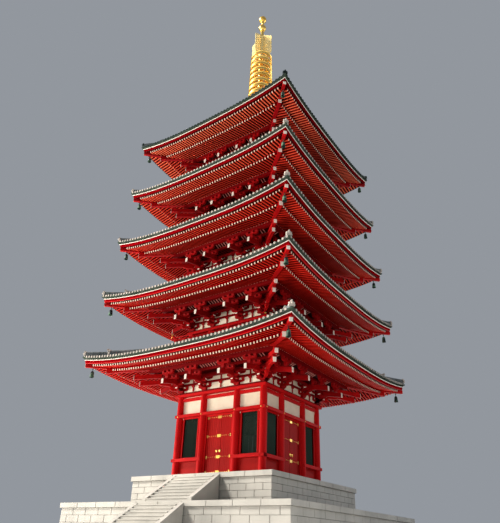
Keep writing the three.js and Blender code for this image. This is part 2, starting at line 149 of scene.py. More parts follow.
def add_node(tree, kind, sockets=None, output=0, **settings):
    node = tree.nodes.new(kind)
    for name, value in settings.items():
        setattr(node, name, value)
    for name, value in (sockets or {}).items():
        plug(tree, node.inputs[name], value)
    return Term(tree, node.outputs[output])


# Materials
class Paint:
    """A material whose Principled shader is fed by expressions on Object coordinates."""

    def __init__(self, name, **fixed):
        self.material = bpy.data.materials.new(name)
        self.material.use_nodes = True
        self.tree = self.material.node_tree
        self.shader = self.tree.nodes["Principled BSDF"]
        for socket, value in fixed.items():
            self.shader.inputs[socket.replace("_", " ")].default_value = value
        self.place = self.add("ShaderNodeTexCoord", output="Object")

    def add(self, kind, sockets=None, output=0, **settings):
        return add_node(self.tree, kind, sockets, output, **settings)

    def noise(self, scale, detail=3.0, roughness=0.55, stretch=(1, 1, 1)):
        where = self.add("ShaderNodeMapping", {"Vector": self.place, "Scale": stretch})
        return self.add("ShaderNodeTexNoise", {
            "Vector": where, "Scale": scale, "Detail": detail, "Roughness": roughness})

    def mix(self, factor, first, second):
        node = self.tree.nodes.new("ShaderNodeMix")
        node.data_type = "RGBA"
        plug(self.tree, node.inputs["Factor"], factor)
        plug(self.tree, node.inputs[6], first)
        plug(self.tree, node.inputs[7], second)
        return Term(self.tree, node.outputs[2])

    def ramp(self, factor, low, high):
        return self.add("ShaderNodeMapRange", {"Value": factor, "From Min": low, "From Max": high})

    def feed(self, **sockets):
        for name, value in sockets.items():
            plug(self.tree, self.shader.inputs[name.replace("_", " ")], value)
        return self

    def bump(self, height, distance, strength=0.5):
        normal = self.add("ShaderNodeBump", {"Height": height, "Distance": distance, "Strength": strength})
        return self.feed(Normal=normal)


def rgb(red, green, blue):
    return (red, green, blue, 1.0)


# Heights of the model between which the colour of painted light and shade for the top of the building comes in
ALOFT_HEIGHTS = (6.0, 16.0)


def lacquer(name, fresh, worn, gloss=0.06, aloft_lighting=None, flank_shade=None):
    """Painted concrete and timber: broad fading, streaks that run down, and fine brush marks.

    Towards the top of the building another colour takes over: painted light and shade that differ by height. Every
    face that doesn't look down takes a darker colour of painted shade.
    """
    paint = Paint(name, Specular_IOR_Level=gloss)
    fading = paint.ramp(paint.noise(0.7, 4), 0.35, 0.7)
    streaks = paint.ramp(paint.noise(3.0, 3, stretch=(3, 3, 0.25)), 0.52, 0.75)
    brush = paint.noise(38, 2)
    colour = paint.mix(fading * 0.55 + streaks * 0.35, fresh, worn)
    # painted light and shade: the colour higher up stands in for how light falls on the upper storeys
    if aloft_lighting:
        height = paint.ramp(paint.add("ShaderNodeSeparateXYZ", {"Vector": paint.place}, output="Z"), *ALOFT_HEIGHTS)
        colour = paint.mix(height ** 2.0, colour, aloft_lighting)
    # painted shade: faces that don't look down take the darker colour, standing in for the shade on the rafters'
    # sides
    if flank_shade:
        facing = paint.add("ShaderNodeNewGeometry", output="True Normal")
        down = paint.ramp(paint.add("ShaderNodeSeparateXYZ", {"Vector": facing}, output="Z"), -0.5, -0.8)
        colour = paint.mix(down, flank_shade, colour)
    paint.feed(Base_Color=colour, Roughness=0.42 + 0.18 * brush)
    return paint.bump(brush, 0.002, 0.25).material


def white_edge(name, clean, soiled):
    paint = Paint(name, Specular_IOR_Level=0.1)
    dirt = paint.ramp(paint.noise(5, 4), 0.5, 0.8)
    colour = paint.mix(dirt * 0.4, clean, soiled)
    return paint.feed(Base_Color=colour, Roughness=0.5 + 0.2 * dirt).material


def plaster(name):
    paint = Paint(name)
    cloud = paint.noise(1.6, 5)
    grain = paint.noise(60, 2)
    colour = paint.mix(paint.ramp(cloud, 0.35, 0.75), rgb(0.90, 0.81, 0.64), rgb(0.74, 0.64, 0.47))
    paint.feed(Base_Color=colour, Roughness=0.75 + 0.15 * grain)
    return paint.bump(grain, 0.002, 0.3).material


def fired_tile(name, dark, light, green, gloss=0.0):
    """Grey roof tile with a tone of its own for each tile, smoke marks and a green bloom."""
    paint = Paint(name, Specular_IOR_Level=gloss)
    tone = paint.add("ShaderNodeTexVoronoi", {"Vector": paint.place, "Scale": 6.5}, output="Color")
    own = paint.add("ShaderNodeSeparateColor", {"Color": tone})
    smoke = paint.ramp(paint.noise(1.3, 4), 0.35, 0.7)
    bloom = paint.ramp(paint.noise(2.4, 5), 0.55, 0.75)
    speckle = paint.noise(90, 2)
    body = paint.mix(own * 0.55 + smoke * 0.35, dark, light)
    colour = paint.mix(bloom * 0.5, body, green)
    paint.feed(Base_Color=colour, Roughness=0.42 + 0.25 * smoke)
    return paint.bump(speckle, 0.002, 0.3).material


def gold(name, metallic, bright, deep):
    paint = Paint(name, Metallic=metallic)
    cloud = paint.ramp(paint.noise(2.2, 4), 0.3, 0.75)
    grain = paint.noise(45, 3)
    colour = paint.mix(cloud, bright, deep)
    paint.feed(Base_Color=colour, Roughness=0.22 + 0.22 * cloud)
    return paint.bump(grain, 0.003, 0.25).material


def verdigris(name):
    paint = Paint(name, Metallic=0.15, Specular_IOR_Level=0.15)
    bloom = paint.ramp(paint.noise(7, 5), 0.44, 0.68)
    pits = paint.noise(55, 3)
    colour = paint.mix(bloom, rgb(0.016, 0.026, 0.026), rgb(0.12, 0.23, 0.14))
    paint.feed(Base_Color=colour, Roughness=0.45 + 0.3 * bloom)
    return paint.bump(pits, 0.003, 0.4).material


def granite(name, pale, dark):
    """Dressed stone: a tone for each block, fine crystals, and rain marks under the edges."""
    paint = Paint(name)
    block = paint.ramp(paint.noise(0.9, 1), 0.3, 0.7)
    crystals = paint.noise(70, 3, 0.7)
    rain = paint.ramp(paint.noise(2.0, 4, stretch=(2.2, 2.2, 0.2)), 0.5, 0.8)
    colour = paint.mix(block * 0.5 + rain * 0.35 + crystals * 0.15, pale, dark)
    paint.feed(Base_Color=colour, Roughness=0.72 + 0.2 * crystals)
    return paint.bump(crystals, 0.004, 0.4).material


FINISHES = {
    "red": lacquer("vermilion lacquer", rgb(0.57, 0.006, 0.007), rgb(0.42, 0.004, 0.005)),
    # painted shade: the hip's darker colour aloft stands in for the shade on the upper hips
    "hip": lacquer("hip lacquer", rgb(0.50, 0.006, 0.006), rgb(0.38, 0.004, 0.005),
                   aloft_lighting=rgb(0.28, 0.003, 0.005)),
    # painted shadow: the fascia is a darker copy of the vermilion, standing in for the shadow of the tiles above
    # it, and darker still aloft
    "fascia": lacquer("fascia lacquer in painted shadow", rgb(0.24, 0.001, 0.003), rgb(0.18, 0.001, 0.002), gloss=0.0,
                      aloft_lighting=rgb(0.13, 0.001, 0.002)),
    # painted light: the rafters are a lighter copy of the vermilion, lit from below, and turn salmon aloft; their
    # sides take painted shade
    "rafter": lacquer("rafter lacquer with painted light and shade", rgb(0.80, 0.018, 0.008), rgb(0.62, 0.012, 0.005),
                      aloft_lighting=rgb(0.78, 0.12, 0.055), flank_shade=rgb(0.22, 0.003, 0.002)),
    # painted shade: the base rafters are a darker copy of the rafter paint, deeper under the eave; lighter aloft
    # as painted light, their sides in painted shade
    "inner_rafter": lacquer("inner rafter lacquer with painted light and shade", rgb(0.64, 0.012, 0.005), rgb(0.50, 0.008, 0.004),
                            aloft_lighting=rgb(0.62, 0.055, 0.028), flank_shade=rgb(0.14, 0.002, 0.001)),
    # painted shade: the boards between rafters, the bracket ceilings and the balcony decks are near black,
    # standing in for shade
    "board": lacquer("soffit boards in painted shade", rgb(0.035, 0.001, 0.001), rgb(0.02, 0.0006, 0.0006)),
    # painted shade: brackets and struts are a darker copy of the vermilion
    "bracket": lacquer("bracket lacquer in painted shade", rgb(0.34, 0.004, 0.005), rgb(0.20, 0.002, 0.003)),
    # painted shade: tie beams and ceiling ribs are a still darker copy of the vermilion
    "beam": lacquer("tie beam lacquer in painted shade", rgb(0.20, 0.002, 0.003), rgb(0.12, 0.001, 0.002)),
    # painted shade: white paint dimmed to pink, as in shade under red light, for the coving ribs and the rafter
    # stops
    "rib": lacquer("rib white in painted shade", rgb(0.72, 0.26, 0.22), rgb(0.50, 0.14, 0.12)),
    "white": white_edge("white end paint", rgb(0.92, 0.86, 0.76), rgb(0.66, 0.55, 0.42)),
    # painted shade: the rafter caps are white paint dimmed to cream, as in shade under red light
    "cap": white_edge("cap white in painted shade", rgb(0.84, 0.66, 0.52), rgb(0.60, 0.42, 0.30)),
    "plaster": plaster("cream plaster"),
    "tile": fired_tile("roof tile", rgb(0.10, 0.115, 0.115), rgb(0.27, 0.285, 0.29), rgb(0.13, 0.17, 0.14),
                       gloss=0.2),
    "end_tile": fired_tile("eave tile", rgb(0.32, 0.29, 0.26), rgb(0.66, 0.58, 0.51), rgb(0.26, 0.32, 0.24)),
    # painted shadow: the pan lips are near black, standing in for the shadows of the end discs
    "lip_tile": fired_tile("pan lip tile in painted shadow", rgb(0.032, 0.036, 0.032), rgb(0.09, 0.10, 0.09),
                           rgb(0.04, 0.07, 0.04)),
    "top_tile": fired_tile("shaded tile", rgb(0.010, 0.016, 0.016), rgb(0.035, 0.045, 0.045),
                           rgb(0.02, 0.035, 0.025)),
    # painted shadow: the seat under the eave tiles is a dark band standing in for the shadow gap between the discs
    "seat": fired_tile("tile seat in painted shadow", rgb(0.030, 0.045, 0.032), rgb(0.07, 0.09, 0.07), rgb(0.02, 0.06, 0.03)),
    "gilt": gold("gilding", 1.0, rgb(1.0, 0.72, 0.22), rgb(0.88, 0.50, 0.08)),
    # painted light: a paler, less metallic copy of the gilding for the flame's fins, standing in for their sunlit
    # look
    "lit_gilt": gold("gilding brightened as painted light", 0.35, rgb(1.0, 0.84, 0.40), rgb(0.98, 0.72, 0.26)),
    "bronze": verdigris("weathered bronze"),
    "stone": granite("dressed granite", rgb(0.50, 0.48, 0.43), rgb(0.30, 0.29, 0.26)),
    "paving": granite("flagstone", rgb(0.40, 0.385, 0.35), rgb(0.27, 0.26, 0.235)),
    "dark": lacquer("dark lattice paint", rgb(0.035, 0.06, 0.045), rgb(0.02, 0.03, 0.025)),
    "door": lacquer("door lacquer", rgb(0.42, 0.007, 0.005), rgb(0.28, 0.005, 0.004)),
}


# Meshes
class Form:
    """Points and faces gathered from simple solids, in full-size metres."""

    def __init__(self):
        self.points, self.faces = [], []

    def add(self, points, faces):
        first = len(self.points)
        self.points.extend(Vector(p) for p in points)
        self.faces.extend([first + i for i in face] for face in faces)
        return self

    def box(self, low, high):
        (x0, y0, z0), (x1, y1, z1) = low, high
        points = [(x, y, z) for z in (z0, z1) for x, y in ((x0, y0), (x1, y0), (x1, y1), (x0, y1))]
        sides = [(i, (i + 1) % 4, (i + 1) % 4 + 4, i + 4) for i in range(4)]
        return self.add(points, [(3, 2, 1, 0), (4, 5, 6, 7), *sides])

    def loft(self, rings, closed_path=False):
        """A closed skin through rings of equal counts, turned outwards."""
        count = len(rings[0])
        spans = len(rings) if closed_path else len(rings) - 1
        faces = []
        for i in range(spans):
            j = (i + 1) % len(rings)
            faces += [(i * count + k, j * count + k, j * count + (k + 1) % count, i * count + (k + 1) % count)
                      for k in range(count)]
        if not closed_path:
            last = spans * count
            faces += [tuple(range(count)), tuple(reversed(range(last, last + count)))]
        return self.add_outwards([p for ring in rings for p in ring], faces)

    def add_outwards(self, points, faces):
        """Adds closed bodies that face one way throughout, outwards."""
        points = [Vector(p) for p in points]
        middle = sum(points, Vector()) / len(points)
        volume = 0.0
        for face in faces:
            a = points[face[0]] - middle
            for i, j in zip(face[1:], face[2:]):
                volume += a.dot((points[i] - middle).cross(points[j] - middle))
        return self.add(points, faces if volume > 0 else [tuple(reversed(face)) for face in faces])

    def join(self, other, matrix=Matrix.Identity(4)):
        return self.add([matrix @ p for p in other.points], other.faces)

    def four(self, turn=0.0):
        """The form and its three quarter turns about the tower's axis."""
        whole = Form()
        for i in range(4):
            whole.join(self, spin(turn + i * QUARTER))
        return whole

    def mesh(self, name, smooth=None):
        data = bpy.data.meshes.new(name)
        data.from_pydata(self.points, [], self.faces)
        data.validate()
        return smoothed(data, smooth)


def smoothed(data, degrees):
    """Smooth faces that meet at less than an angle, if one is given."""
    if degrees is not None:
        data.shade_smooth()
        data.set_sharp_from_angle(angle=math.radians(degrees))
    return data


# Shapes
def extruded(outline, half, place=Matrix.Identity(4)):
    """An outline of (x, z) points given a thickness along Y."""
    return Form().join(Form().loft([[(x, y, z) for x, z in outline] for y in (half, -half)]), place)


def turned(profile, sides=24, place=Matrix.Identity(4)):
    """A round piece from (radius, height) pairs, from bottom to top."""
    rings = [[(x, y, height) for x, y in circle(max(radius, 1e-4), sides)] for radius, height in profile]
    return Form().join(Form().loft(rings), place)


def hoop(radius, wire, place, sides=16, around=8):
    """A ring of round wire in the XZ plane."""
    section = circle(wire, around)
    rings = [[(u * (radius + out), y, v * (radius + out)) for out, y in section] for u, v in circle(1, sides)]
    return Form().join(Form().loft(rings, closed_path=True), place)


def square_layers(layers, x=0.0, y=0.0):
    """A stack of square rings from (half, height) pairs, from bottom to top."""
    return Form().loft([[(x - half, y - half, z), (x - half, y + half, z), (x + half, y + half, z),
                         (x + half, y - half, z)] for half, z in layers])


def bar(stations, along="Y"):
    """A bar of rectangular section through (distance along it, half-width, low, high)."""
    rings = []
    for reach, half, low, high in stations:
        section = ((-half, low), (-half, high), (half, high), (half, low))
        rings.append([(reach, side, z) if along == "X" else (side, reach, z) for side, z in section])
    return Form().loft(rings)


def settle(name, data, finish, body=TOWER, replaces=()):
    """Puts a mesh in full-size metres into the model and gives it to a body."""
    data.transform(TO_MODEL)
    data.materials.clear()
    data.materials.append(FINISHES[finish])
    piece = bpy.data.objects.new(name, data)
    bpy.context.scene.collection.objects.link(piece)
    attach(piece, body)
    if replaces:
        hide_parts(*replaces)


def make(name, form, finish, smooth=None, body=TOWER, replaces=()):
    settle(name, form.mesh(name, smooth), finish, body, replaces)


# Geometry trees
def new_tree(name, sockets):
    tree = bpy.data.node_groups.new(name, "GeometryNodeTree")
    tree.interface.new_socket("Geometry", in_out="OUTPUT", socket_type="NodeSocketGeometry")
    tree.interface.new_socket("Geometry", in_out="INPUT", socket_type="NodeSocketGeometry")
    for label, kind in sockets.items():
        tree.interface.new_socket(label, in_out="INPUT", socket_type="NodeSocket" + kind)
    entry = tree.nodes.new("NodeGroupInput")
    return tree, {s.name: Term(tree, s) for s in entry.outputs if s.name}


def end_tree(tree, geometry, finish):
    """Every tree ends in Realize Instances and Set Material."""
    real = add_node(tree, "GeometryNodeRealizeInstances", {"Geometry": geometry})
    painted = add_node(tree, "GeometryNodeSetMaterial", {"Geometry": real, "Material": finish})
    out = tree.nodes.new("NodeGroupOutput")
    tree.links.new(painted.socket, out.inputs[0])
    return tree


def vector(tree, x, y, z):
    return add_node(tree, "ShaderNodeCombineXYZ", {"X": x, "Y": y, "Z": z})


def copies_tree():
    """Puts the Unit on each point of the mesh, turned and sized by the point's own attributes."""
    tree, given = new_tree("Copies on points", {
        "Unit": "Object", "Finish": "Material", "Jitter": "Float", "Seed": "Int"})
    unit = add_node(tree, "GeometryNodeObjectInfo", {"Object": given["Unit"]}, output="Geometry")

    def attribute(label):
        return add_node(tree, "GeometryNodeInputNamedAttribute", {"Name": label}, data_type="FLOAT_VECTOR")

    spread = add_node(tree, "FunctionNodeRandomValue", {
        "Min": (-1.0, -1.0, -1.0), "Max": (1.0, 1.0, 1.0), "Seed": given["Seed"]}, data_type="FLOAT_VECTOR")
    wobble = add_node(tree, "ShaderNodeVectorMath", {0: spread, "Scale": given["Jitter"]}, operation="SCALE")
    turn = add_node(tree, "ShaderNodeVectorMath", {0: attribute("turn"), 1: wobble}, operation="ADD")
    rotation = add_node(tree, "FunctionNodeEulerToRotation", {"Euler": turn})
    placed = add_node(tree, "GeometryNodeInstanceOnPoints", {
        "Points": given["Geometry"], "Instance": unit, "Rotation": rotation, "Scale": attribute("size")})
    return end_tree(tree, placed, given["Finish"])


def rafter_tree():
    """A row of bars along one eave, cut off at the hips, rising to the corners with the roof.

    The row starts at Reach from the axis and runs in to Inner, and the four sides are one turned.
    Stretch is 1 for bars, which take the length of the run, and 0 for the caps on their ends.
    """
    tree, given = new_tree("Rafters of an eave", {
        "Unit": "Object", "Finish": "Material", "Count": "Int", "Pitch": "Float", "Reach": "Float",
        "Tip height": "Float", "Inner": "Float", "Inner height": "Float", "Lift": "Float",
        "Lift from": "Float", "Edge": "Float", "Stretch": "Float"})
    reach, inner, edge, low = given["Reach"], given["Inner"], given["Edge"], given["Lift from"]
    start = vector(tree, given["Pitch"] * (given["Count"] - 1) * -0.5, 0.0, 0.0)
    line = add_node(tree, "GeometryNodeMeshLine", {
        "Count": given["Count"], "Start Location": start, "Offset": vector(tree, given["Pitch"], 0.0, 0.0)})
    across = add_node(tree, "ShaderNodeSeparateXYZ", {
        "Vector": add_node(tree, "GeometryNodeInputPosition")}, output="X")

    def lifted(distance):
        share = ((distance - low) / (edge - low)).over(0.0)
        return given["Lift"] * share * (abs(across) / distance) ** LIFT_POWER

    end = abs(across).over(inner)
    tip_z = given["Tip height"] + lifted(reach)
    slope = (given["Inner height"] - given["Tip height"]) / (reach - inner)
    rise = slope * (reach - end) + lifted(end) - lifted(reach)
    run = (reach - end).over(0.02)
    length = (run * run + rise * rise) ** 0.5
    tilt = run.maths("ARCTAN2", rise, run)
    size = 1.0 + given["Stretch"] * (length - 1.0)
    row = add_node(tree, "GeometryNodeSetPosition", {
        "Geometry": line, "Offset": vector(tree, 0.0, reach * -1.0, tip_z)})
    side = add_node(tree, "GeometryNodeInstanceOnPoints", {
        "Points": row,
        "Instance": add_node(tree, "GeometryNodeObjectInfo", {"Object": given["Unit"]}, output="Geometry"),
        "Rotation": add_node(tree, "FunctionNodeEulerToRotation", {"Euler": vector(tree, tilt, 0.0, 0.0)}),
        "Scale": vector(tree, 1.0, size, 1.0)})
    whole = tree.nodes.new("GeometryNodeJoinGeometry")
    for quarter in range(4):
        spun = add_node(tree, "GeometryNodeTransform", {
            "Geometry": side, "Rotation": (0.0, 0.0, quarter * QUARTER)})
        tree.links.new(spun.socket, whole.inputs[0])
    return end_tree(tree, Term(tree, whole.outputs[0]), given["Finish"])


TREES = {"copies": copies_tree(), "rafters": rafter_tree()}


def grow(name, points, tree, finish, smooth=None, replaces=(), **inputs):
    """Runs a tree on a mesh of points, turns the result into a plain mesh and settles it."""
    host = bpy.data.objects.new(name + " points", points)
    bpy.context.scene.collection.objects.link(host)
    grower = host.modifiers.new("grow", "NODES")
    grower.node_group = tree
    sockets = {s.name: s.identifier for s in tree.interface.items_tree if s.in_out == "INPUT"}
    for label, value in {"Finish": FINISHES[finish], **inputs}.items():
        grower[sockets[label.replace("_", " ")]] = value
    depsgraph = bpy.context.evaluated_depsgraph_get()
    data = bpy.data.meshes.new_from_object(host.evaluated_get(depsgraph))
    bpy.data.objects.remove(host)
    data.name = name
    settle(name, smoothed(data, smooth), finish, replaces=replaces)


UNITS = {}
JITTER_SEED = 7


def unit_of(name, form, smooth=None):
    """A shape that trees copy. It is taken out of the scene when the model is whole."""
    UNITS[name] = bpy.data.objects.new(name, form.mesh(name, smooth))
    bpy.context.scene.collection.objects.link(UNITS[name])


def spot(point, turn=(0, 0, 0), size=(1, 1, 1)):
    """Where one copy of a unit goes."""
    return point, turn, size


def four_spots(spots):
    """The spots of one side, and of the other three."""
    turned_spots = []
    for i in range(4):
        matrix = spin(i * QUARTER)
        turned_spots += [(matrix @ Vector(p), (tx, ty, tz + i * QUARTER), size) for p, (tx, ty, tz), size in spots]
    return turned_spots


def copies(name, unit, spots, finish, smooth=None, jitter=0.0, replaces=()):
    """Copies of a unit on spots."""
    points = bpy.data.meshes.new(name + " places")
    points.from_pydata([point for point, turn, size in spots], [], [])
    for label, index in (("turn", 1), ("size", 2)):
        values = points.attributes.new(label, "FLOAT_VECTOR", "POINT")
        values.data.foreach_set("vector", [c for place in spots for c in place[index]])
    grow(name, points, TREES["copies"], finish, smooth, replaces,
         Unit=UNITS[unit], Jitter=jitter, Seed=JITTER_SEED)


def copies_round(name, unit, spots, finish, smooth=None, **more):
    """Copies of a unit on the spots of one side, and on the other three sides."""
    copies(name, unit, four_spots(spots), finish, smooth, **more)


# Eave curves
def lift_share(storey, s):
    start = storey["body"] + LIFT_FROM
    return max(0.0, (s - start) / (storey["eave"] - start))


def rise_at(storey, share, u):
    return storey["lift"] * share * abs(u) ** LIFT_POWER


STEPS_A_SIDE = 28
RING_STEPS = [math.sin(QUARTER * (2 * i / STEPS_A_SIDE - 1)) for i in range(STEPS_A_SIDE)]


def ring(storey, section):
    """A square ring that rises to the corners, through (distance out, height[, share of the lift])."""
    stations = [(s, storey["z"] + height, share[0] if share else lift_share(storey, s))
                for s, height, *share in section]
    rings = []
    for side in range(4):
        for u in RING_STEPS:
            rings.append([spin(side * QUARTER) @ Vector((u * s, -s, z + rise_at(storey, share, u)))
                          for s, z, share in stations])
    return Form().loft(rings, closed_path=True)


def level_ring(outer, inner, low, high):
    """A level square ring of rectangular section."""
    section = ((inner, low), (outer, low), (outer, high), (inner, high))
    return Form().loft([[spin(side * QUARTER) @ Vector((-s, -s, z)) for s, z in section] for side in range(4)],
                       closed_path=True)


# Eaves
RAFTER_HALF, RAFTER_TALL = 0.050, 0.125
FLYING = {"back": 0.27, "inner": 1.45, "low": -0.42, "inner_low": -0.185}
BASE = {"back": 1.33, "low": -0.45, "inner": 1.20, "over_purlin": 0.20}
BOARD = 0.03
LINE_LOW, LINE_TOP = -0.080, -0.038
HIP_HALF, UPPER_HIP_HALF = 0.13, 0.11
LOWER_HIP_END, UPPER_HIP_END = (1.17, -0.34, -0.02), (0.10, 0.0, 0.24)
WHITE_LIP = 0.002


def make_rafter_units():
    unit_of("rafter", Form().box((-RAFTER_HALF, 0, 0), (RAFTER_HALF, 1, RAFTER_TALL)))
    half = RAFTER_HALF - 0.005
    unit_of("rafter cap", Form().box((-half, -0.010, 0.0), (half, 0.014, RAFTER_TALL)))


def base_underside(storey, out):
    """Height under the base rafters at a distance out from the columns, on the line over the purlin."""
    run = storey["eave"] - BASE["back"] - storey["body"] - PURLIN_FACE
    return BASE["over_purlin"] + (BASE["over_purlin"] - BASE["low"]) / run * (PURLIN_FACE - out)


def make_rafters(storey, number):
    w, z, b, pitch = storey["eave"], storey["z"], storey["body"], storey["pitch"]
    tiers = [
        ("flying", "rafter", w - FLYING["back"], FLYING["low"], w - FLYING["inner"], FLYING["inner_low"]),
        ("base", "inner_rafter", w - BASE["back"], BASE["low"], b + BASE["inner"],
         base_underside(storey, BASE["inner"])),
    ]
    for tier, lacquered, reach, low, inner, inner_low in tiers:
        shared = {
            "Count": 2 * int((reach - 0.22) / pitch), "Pitch": pitch, "Reach": reach, "Tip_height": z + low,
            "Inner": inner, "Inner_height": z + inner_low, "Lift": storey["lift"], "Lift_from": b + LIFT_FROM,
            "Edge": w}
        for kind, unit, finish, stretch in (
                ("rafters", "rafter", lacquered, 1.0), ("rafter_caps", "rafter cap", "cap", 0.0)):
            replaced = (f"eaves_{number}",) if (tier, kind) == ("base", "rafters") else ()
            grow(f"{tier}_{kind}_{number}", bpy.data.meshes.new("seed"), TREES["rafters"], finish,
                 replaces=replaced, Unit=UNITS[unit], Stretch=stretch, **shared)


def make_eave_edge(storey, number):
    """Boards over the rafters, both fascias, the white line and the tile seat above it. Boards, fascias and seat
    are darkened as painted shade.
    """
    w, b = storey["eave"], storey["body"]
    base, flying = BASE["low"] + RAFTER_TALL, FLYING["low"] + RAFTER_TALL
    step = w - BASE["back"]
    foot, inner = b + 0.1, base_underside(storey, BASE["inner"]) + RAFTER_TALL
    boards = ring(storey, [
        (foot, inner + 0.08), (b + BASE["inner"], inner), (step - 0.02, base), (step - 0.02, base + BOARD),
        (b + BASE["inner"], inner + BOARD), (foot, inner + 0.08 + BOARD)])
    boards.join(ring(storey, [
        (step - 0.1, -0.055), (w - 0.12, flying - 0.03), (w - 0.12, flying), (step - 0.1, -0.02)]))
    # painted shade: near-black boards between the rafters
    make(f"soffit_boards_{number}", boards, "board")
    fascia = ring(storey, [
        (w - 0.28, flying - 0.006), (w - 0.09, flying), (w - 0.036, LINE_LOW), (w - 0.28, LINE_LOW)])
    fascia.join(ring(storey, [
        (step - 0.13, base), (step + 0.03, base), (step + 0.03, base + 0.13), (step - 0.13, base + 0.13)]))
    make(f"fascias_{number}", fascia, "fascia")
    # painted highlight: on the two lowest storeys a strip of the brighter vermilion runs along the fascia's lower
    # edge
    if number < 3:
        lip, lip_top = w - 0.12, flying + 0.035
        make(f"fascia_lips_{number}", ring(storey, [
            (lip, flying - 0.002), (w - 0.075, flying), (w - 0.065, lip_top), (lip, lip_top)]), "red")
    line = ring(storey, [(w - 0.14, LINE_LOW), (w - 0.02, LINE_LOW), (w - 0.01, LINE_TOP), (w - 0.14, LINE_TOP)])
    make(f"white_line_{number}", line, "white")
    tip, back, top = w + TILE_OVERHANG + 0.003, w - 0.3, TILE_EDGE - 0.086
    # painted shadow: a dark ring under the eave tiles
    seat = ring(storey, [
        (back, LINE_TOP), (w - 0.03, LINE_TOP), (w, 0.03), (tip - 0.012, 0.060), (tip, 0.064),
        (tip, top), (tip - 0.012, top), (tip - 0.012, 0.10), (back, 0.10)])
    make(f"tile_seat_{number}", seat, "seat")


def make_hip_rafters(storey, number):
    w, z, b = storey["eave"], storey["z"], storey["body"]
    lower_back, lower_low, lower_high = LOWER_HIP_END
    upper_back, upper_low, upper_high = UPPER_HIP_END
    bars = [
        (HIP_HALF, [(b + 0.2, 0.40, 0.66), (b + PURLIN_FACE + 0.02, 0.14, 0.40),
                    (w - lower_back, lower_low, lower_high)]),
        (UPPER_HIP_HALF, [(w - 1.55, upper_low, upper_high), (w - upper_back, upper_low, upper_high)])]
    hips, caps = Form(), Form()
    face = 0.006
    for half, stations in bars:
        hips.join(bar([(s * ROOT, half, z + low, z + high) for s, low, high in stations], "X"))
        s, low, high = stations[-1]
        caps.box((s * ROOT - face, -half - WHITE_LIP, z + low - WHITE_LIP),
                 (s * ROOT + face, half + WHITE_LIP, z + high + WHITE_LIP))
    make(f"hip_rafters_{number}", hips.four(EIGHTH), "hip")
    make(f"hip_caps_{number}", caps.four(EIGHTH), "white")


# Roofs
TILES_BY_RAFTERS = 1.22
TILE_COURSE = 0.33
COVER_RADIUS, END_RADIUS = 0.090, 0.080
PAN_DEPTH = 0.10
PAN_SAG = 0.045


class Slope:
    """The curve of one roof from its edge up to the curb, and its lift towards the corners."""

    def __init__(self, index):
        self.storey = STOREYS[index]
        top = index + 1 == len(STOREYS)
        self.curb, curb_foot = TOP_CURB if top else CURB
        self.curb_half = 0.0 if top else STOREYS[index + 1]["body"]
        self.rise = TOP_ROOF_RISE if top else ROOF_RISE
        self.edge = self.storey["eave"] + TILE_OVERHANG
        self.rim = self.curb_half + curb_foot
        self.run = self.edge - self.rim
        self.pitch = self.storey["pitch"] * TILES_BY_RAFTERS

    def height(self, s):
        share = (self.edge - s) / self.run
        return TILE_EDGE + (self.rise - TILE_EDGE) * (0.75 * share + 0.25 * share * share)

    def share(self, s):
        return max(0.0, lift_share(self.storey, s) * 0.85 + 0.15 * (s - self.rim) / self.run)

    def top(self, s, t):
        """Height of the tiles at distance s out and t along the side."""
        return self.storey["z"] + self.height(s) + rise_at(self.storey, self.share(s), t / s)


def make_tile_units():
    arc = circle(1, 8)[:5]
    cover = [[(COVER_RADIUS * share * x, y, COVER_RADIUS * (share * z - 0.3)) for x, z in arc]
             for y, share in ((0.0, 1.0), (0.035, 0.92), (TILE_COURSE * 1.06, 0.88))]
    unit_of("cover tile", Form().loft(cover), 50)
    disc = [[(x, y, z) for x, z in circle(END_RADIUS * share, 10)]
            for y, share in ((0.06, 0.92), (-0.012, 1.0), (-0.012, 0.78), (0.0, 0.70))]
    unit_of("end disc", Form().loft(disc), 50)
    half = STOREYS[0]["pitch"] * TILES_BY_RAFTERS / 2 - 0.045
    sag = [(half * x, -PAN_SAG * (1 - x ** 2)) for x in (-1, -0.5, 0, 0.5, 1)]
    lip = [[(x, y, z + 0.03) for x, z in sag] + [(x, y, z - 0.045) for x, z in reversed(sag)]
           for y in (0.03, -0.01)]
    unit_of("pan lip", Form().loft(lip), 50)


def pan_section(slope):
    """Section of a roof's pan tiles: a small step at each course, then the curb and the underside."""
    section = [(slope.edge, TILE_EDGE - PAN_DEPTH - 0.09)]
    for i in range(int(slope.run / TILE_COURSE)):
        s = slope.edge - i * TILE_COURSE
        for at_s, step in ((s, 0.012), (s - TILE_COURSE, -0.016)):
            section.append((at_s, slope.height(at_s) - PAN_DEPTH + step, slope.share(at_s)))
    curb = slope.curb_half + slope.curb
    return section + [(slope.rim, slope.rise - PAN_DEPTH, 0), (curb, slope.rise - PAN_DEPTH, 0),
                      (curb, slope.rise - 0.4, 0), (slope.storey["eave"] - 1.3, 0.2)]


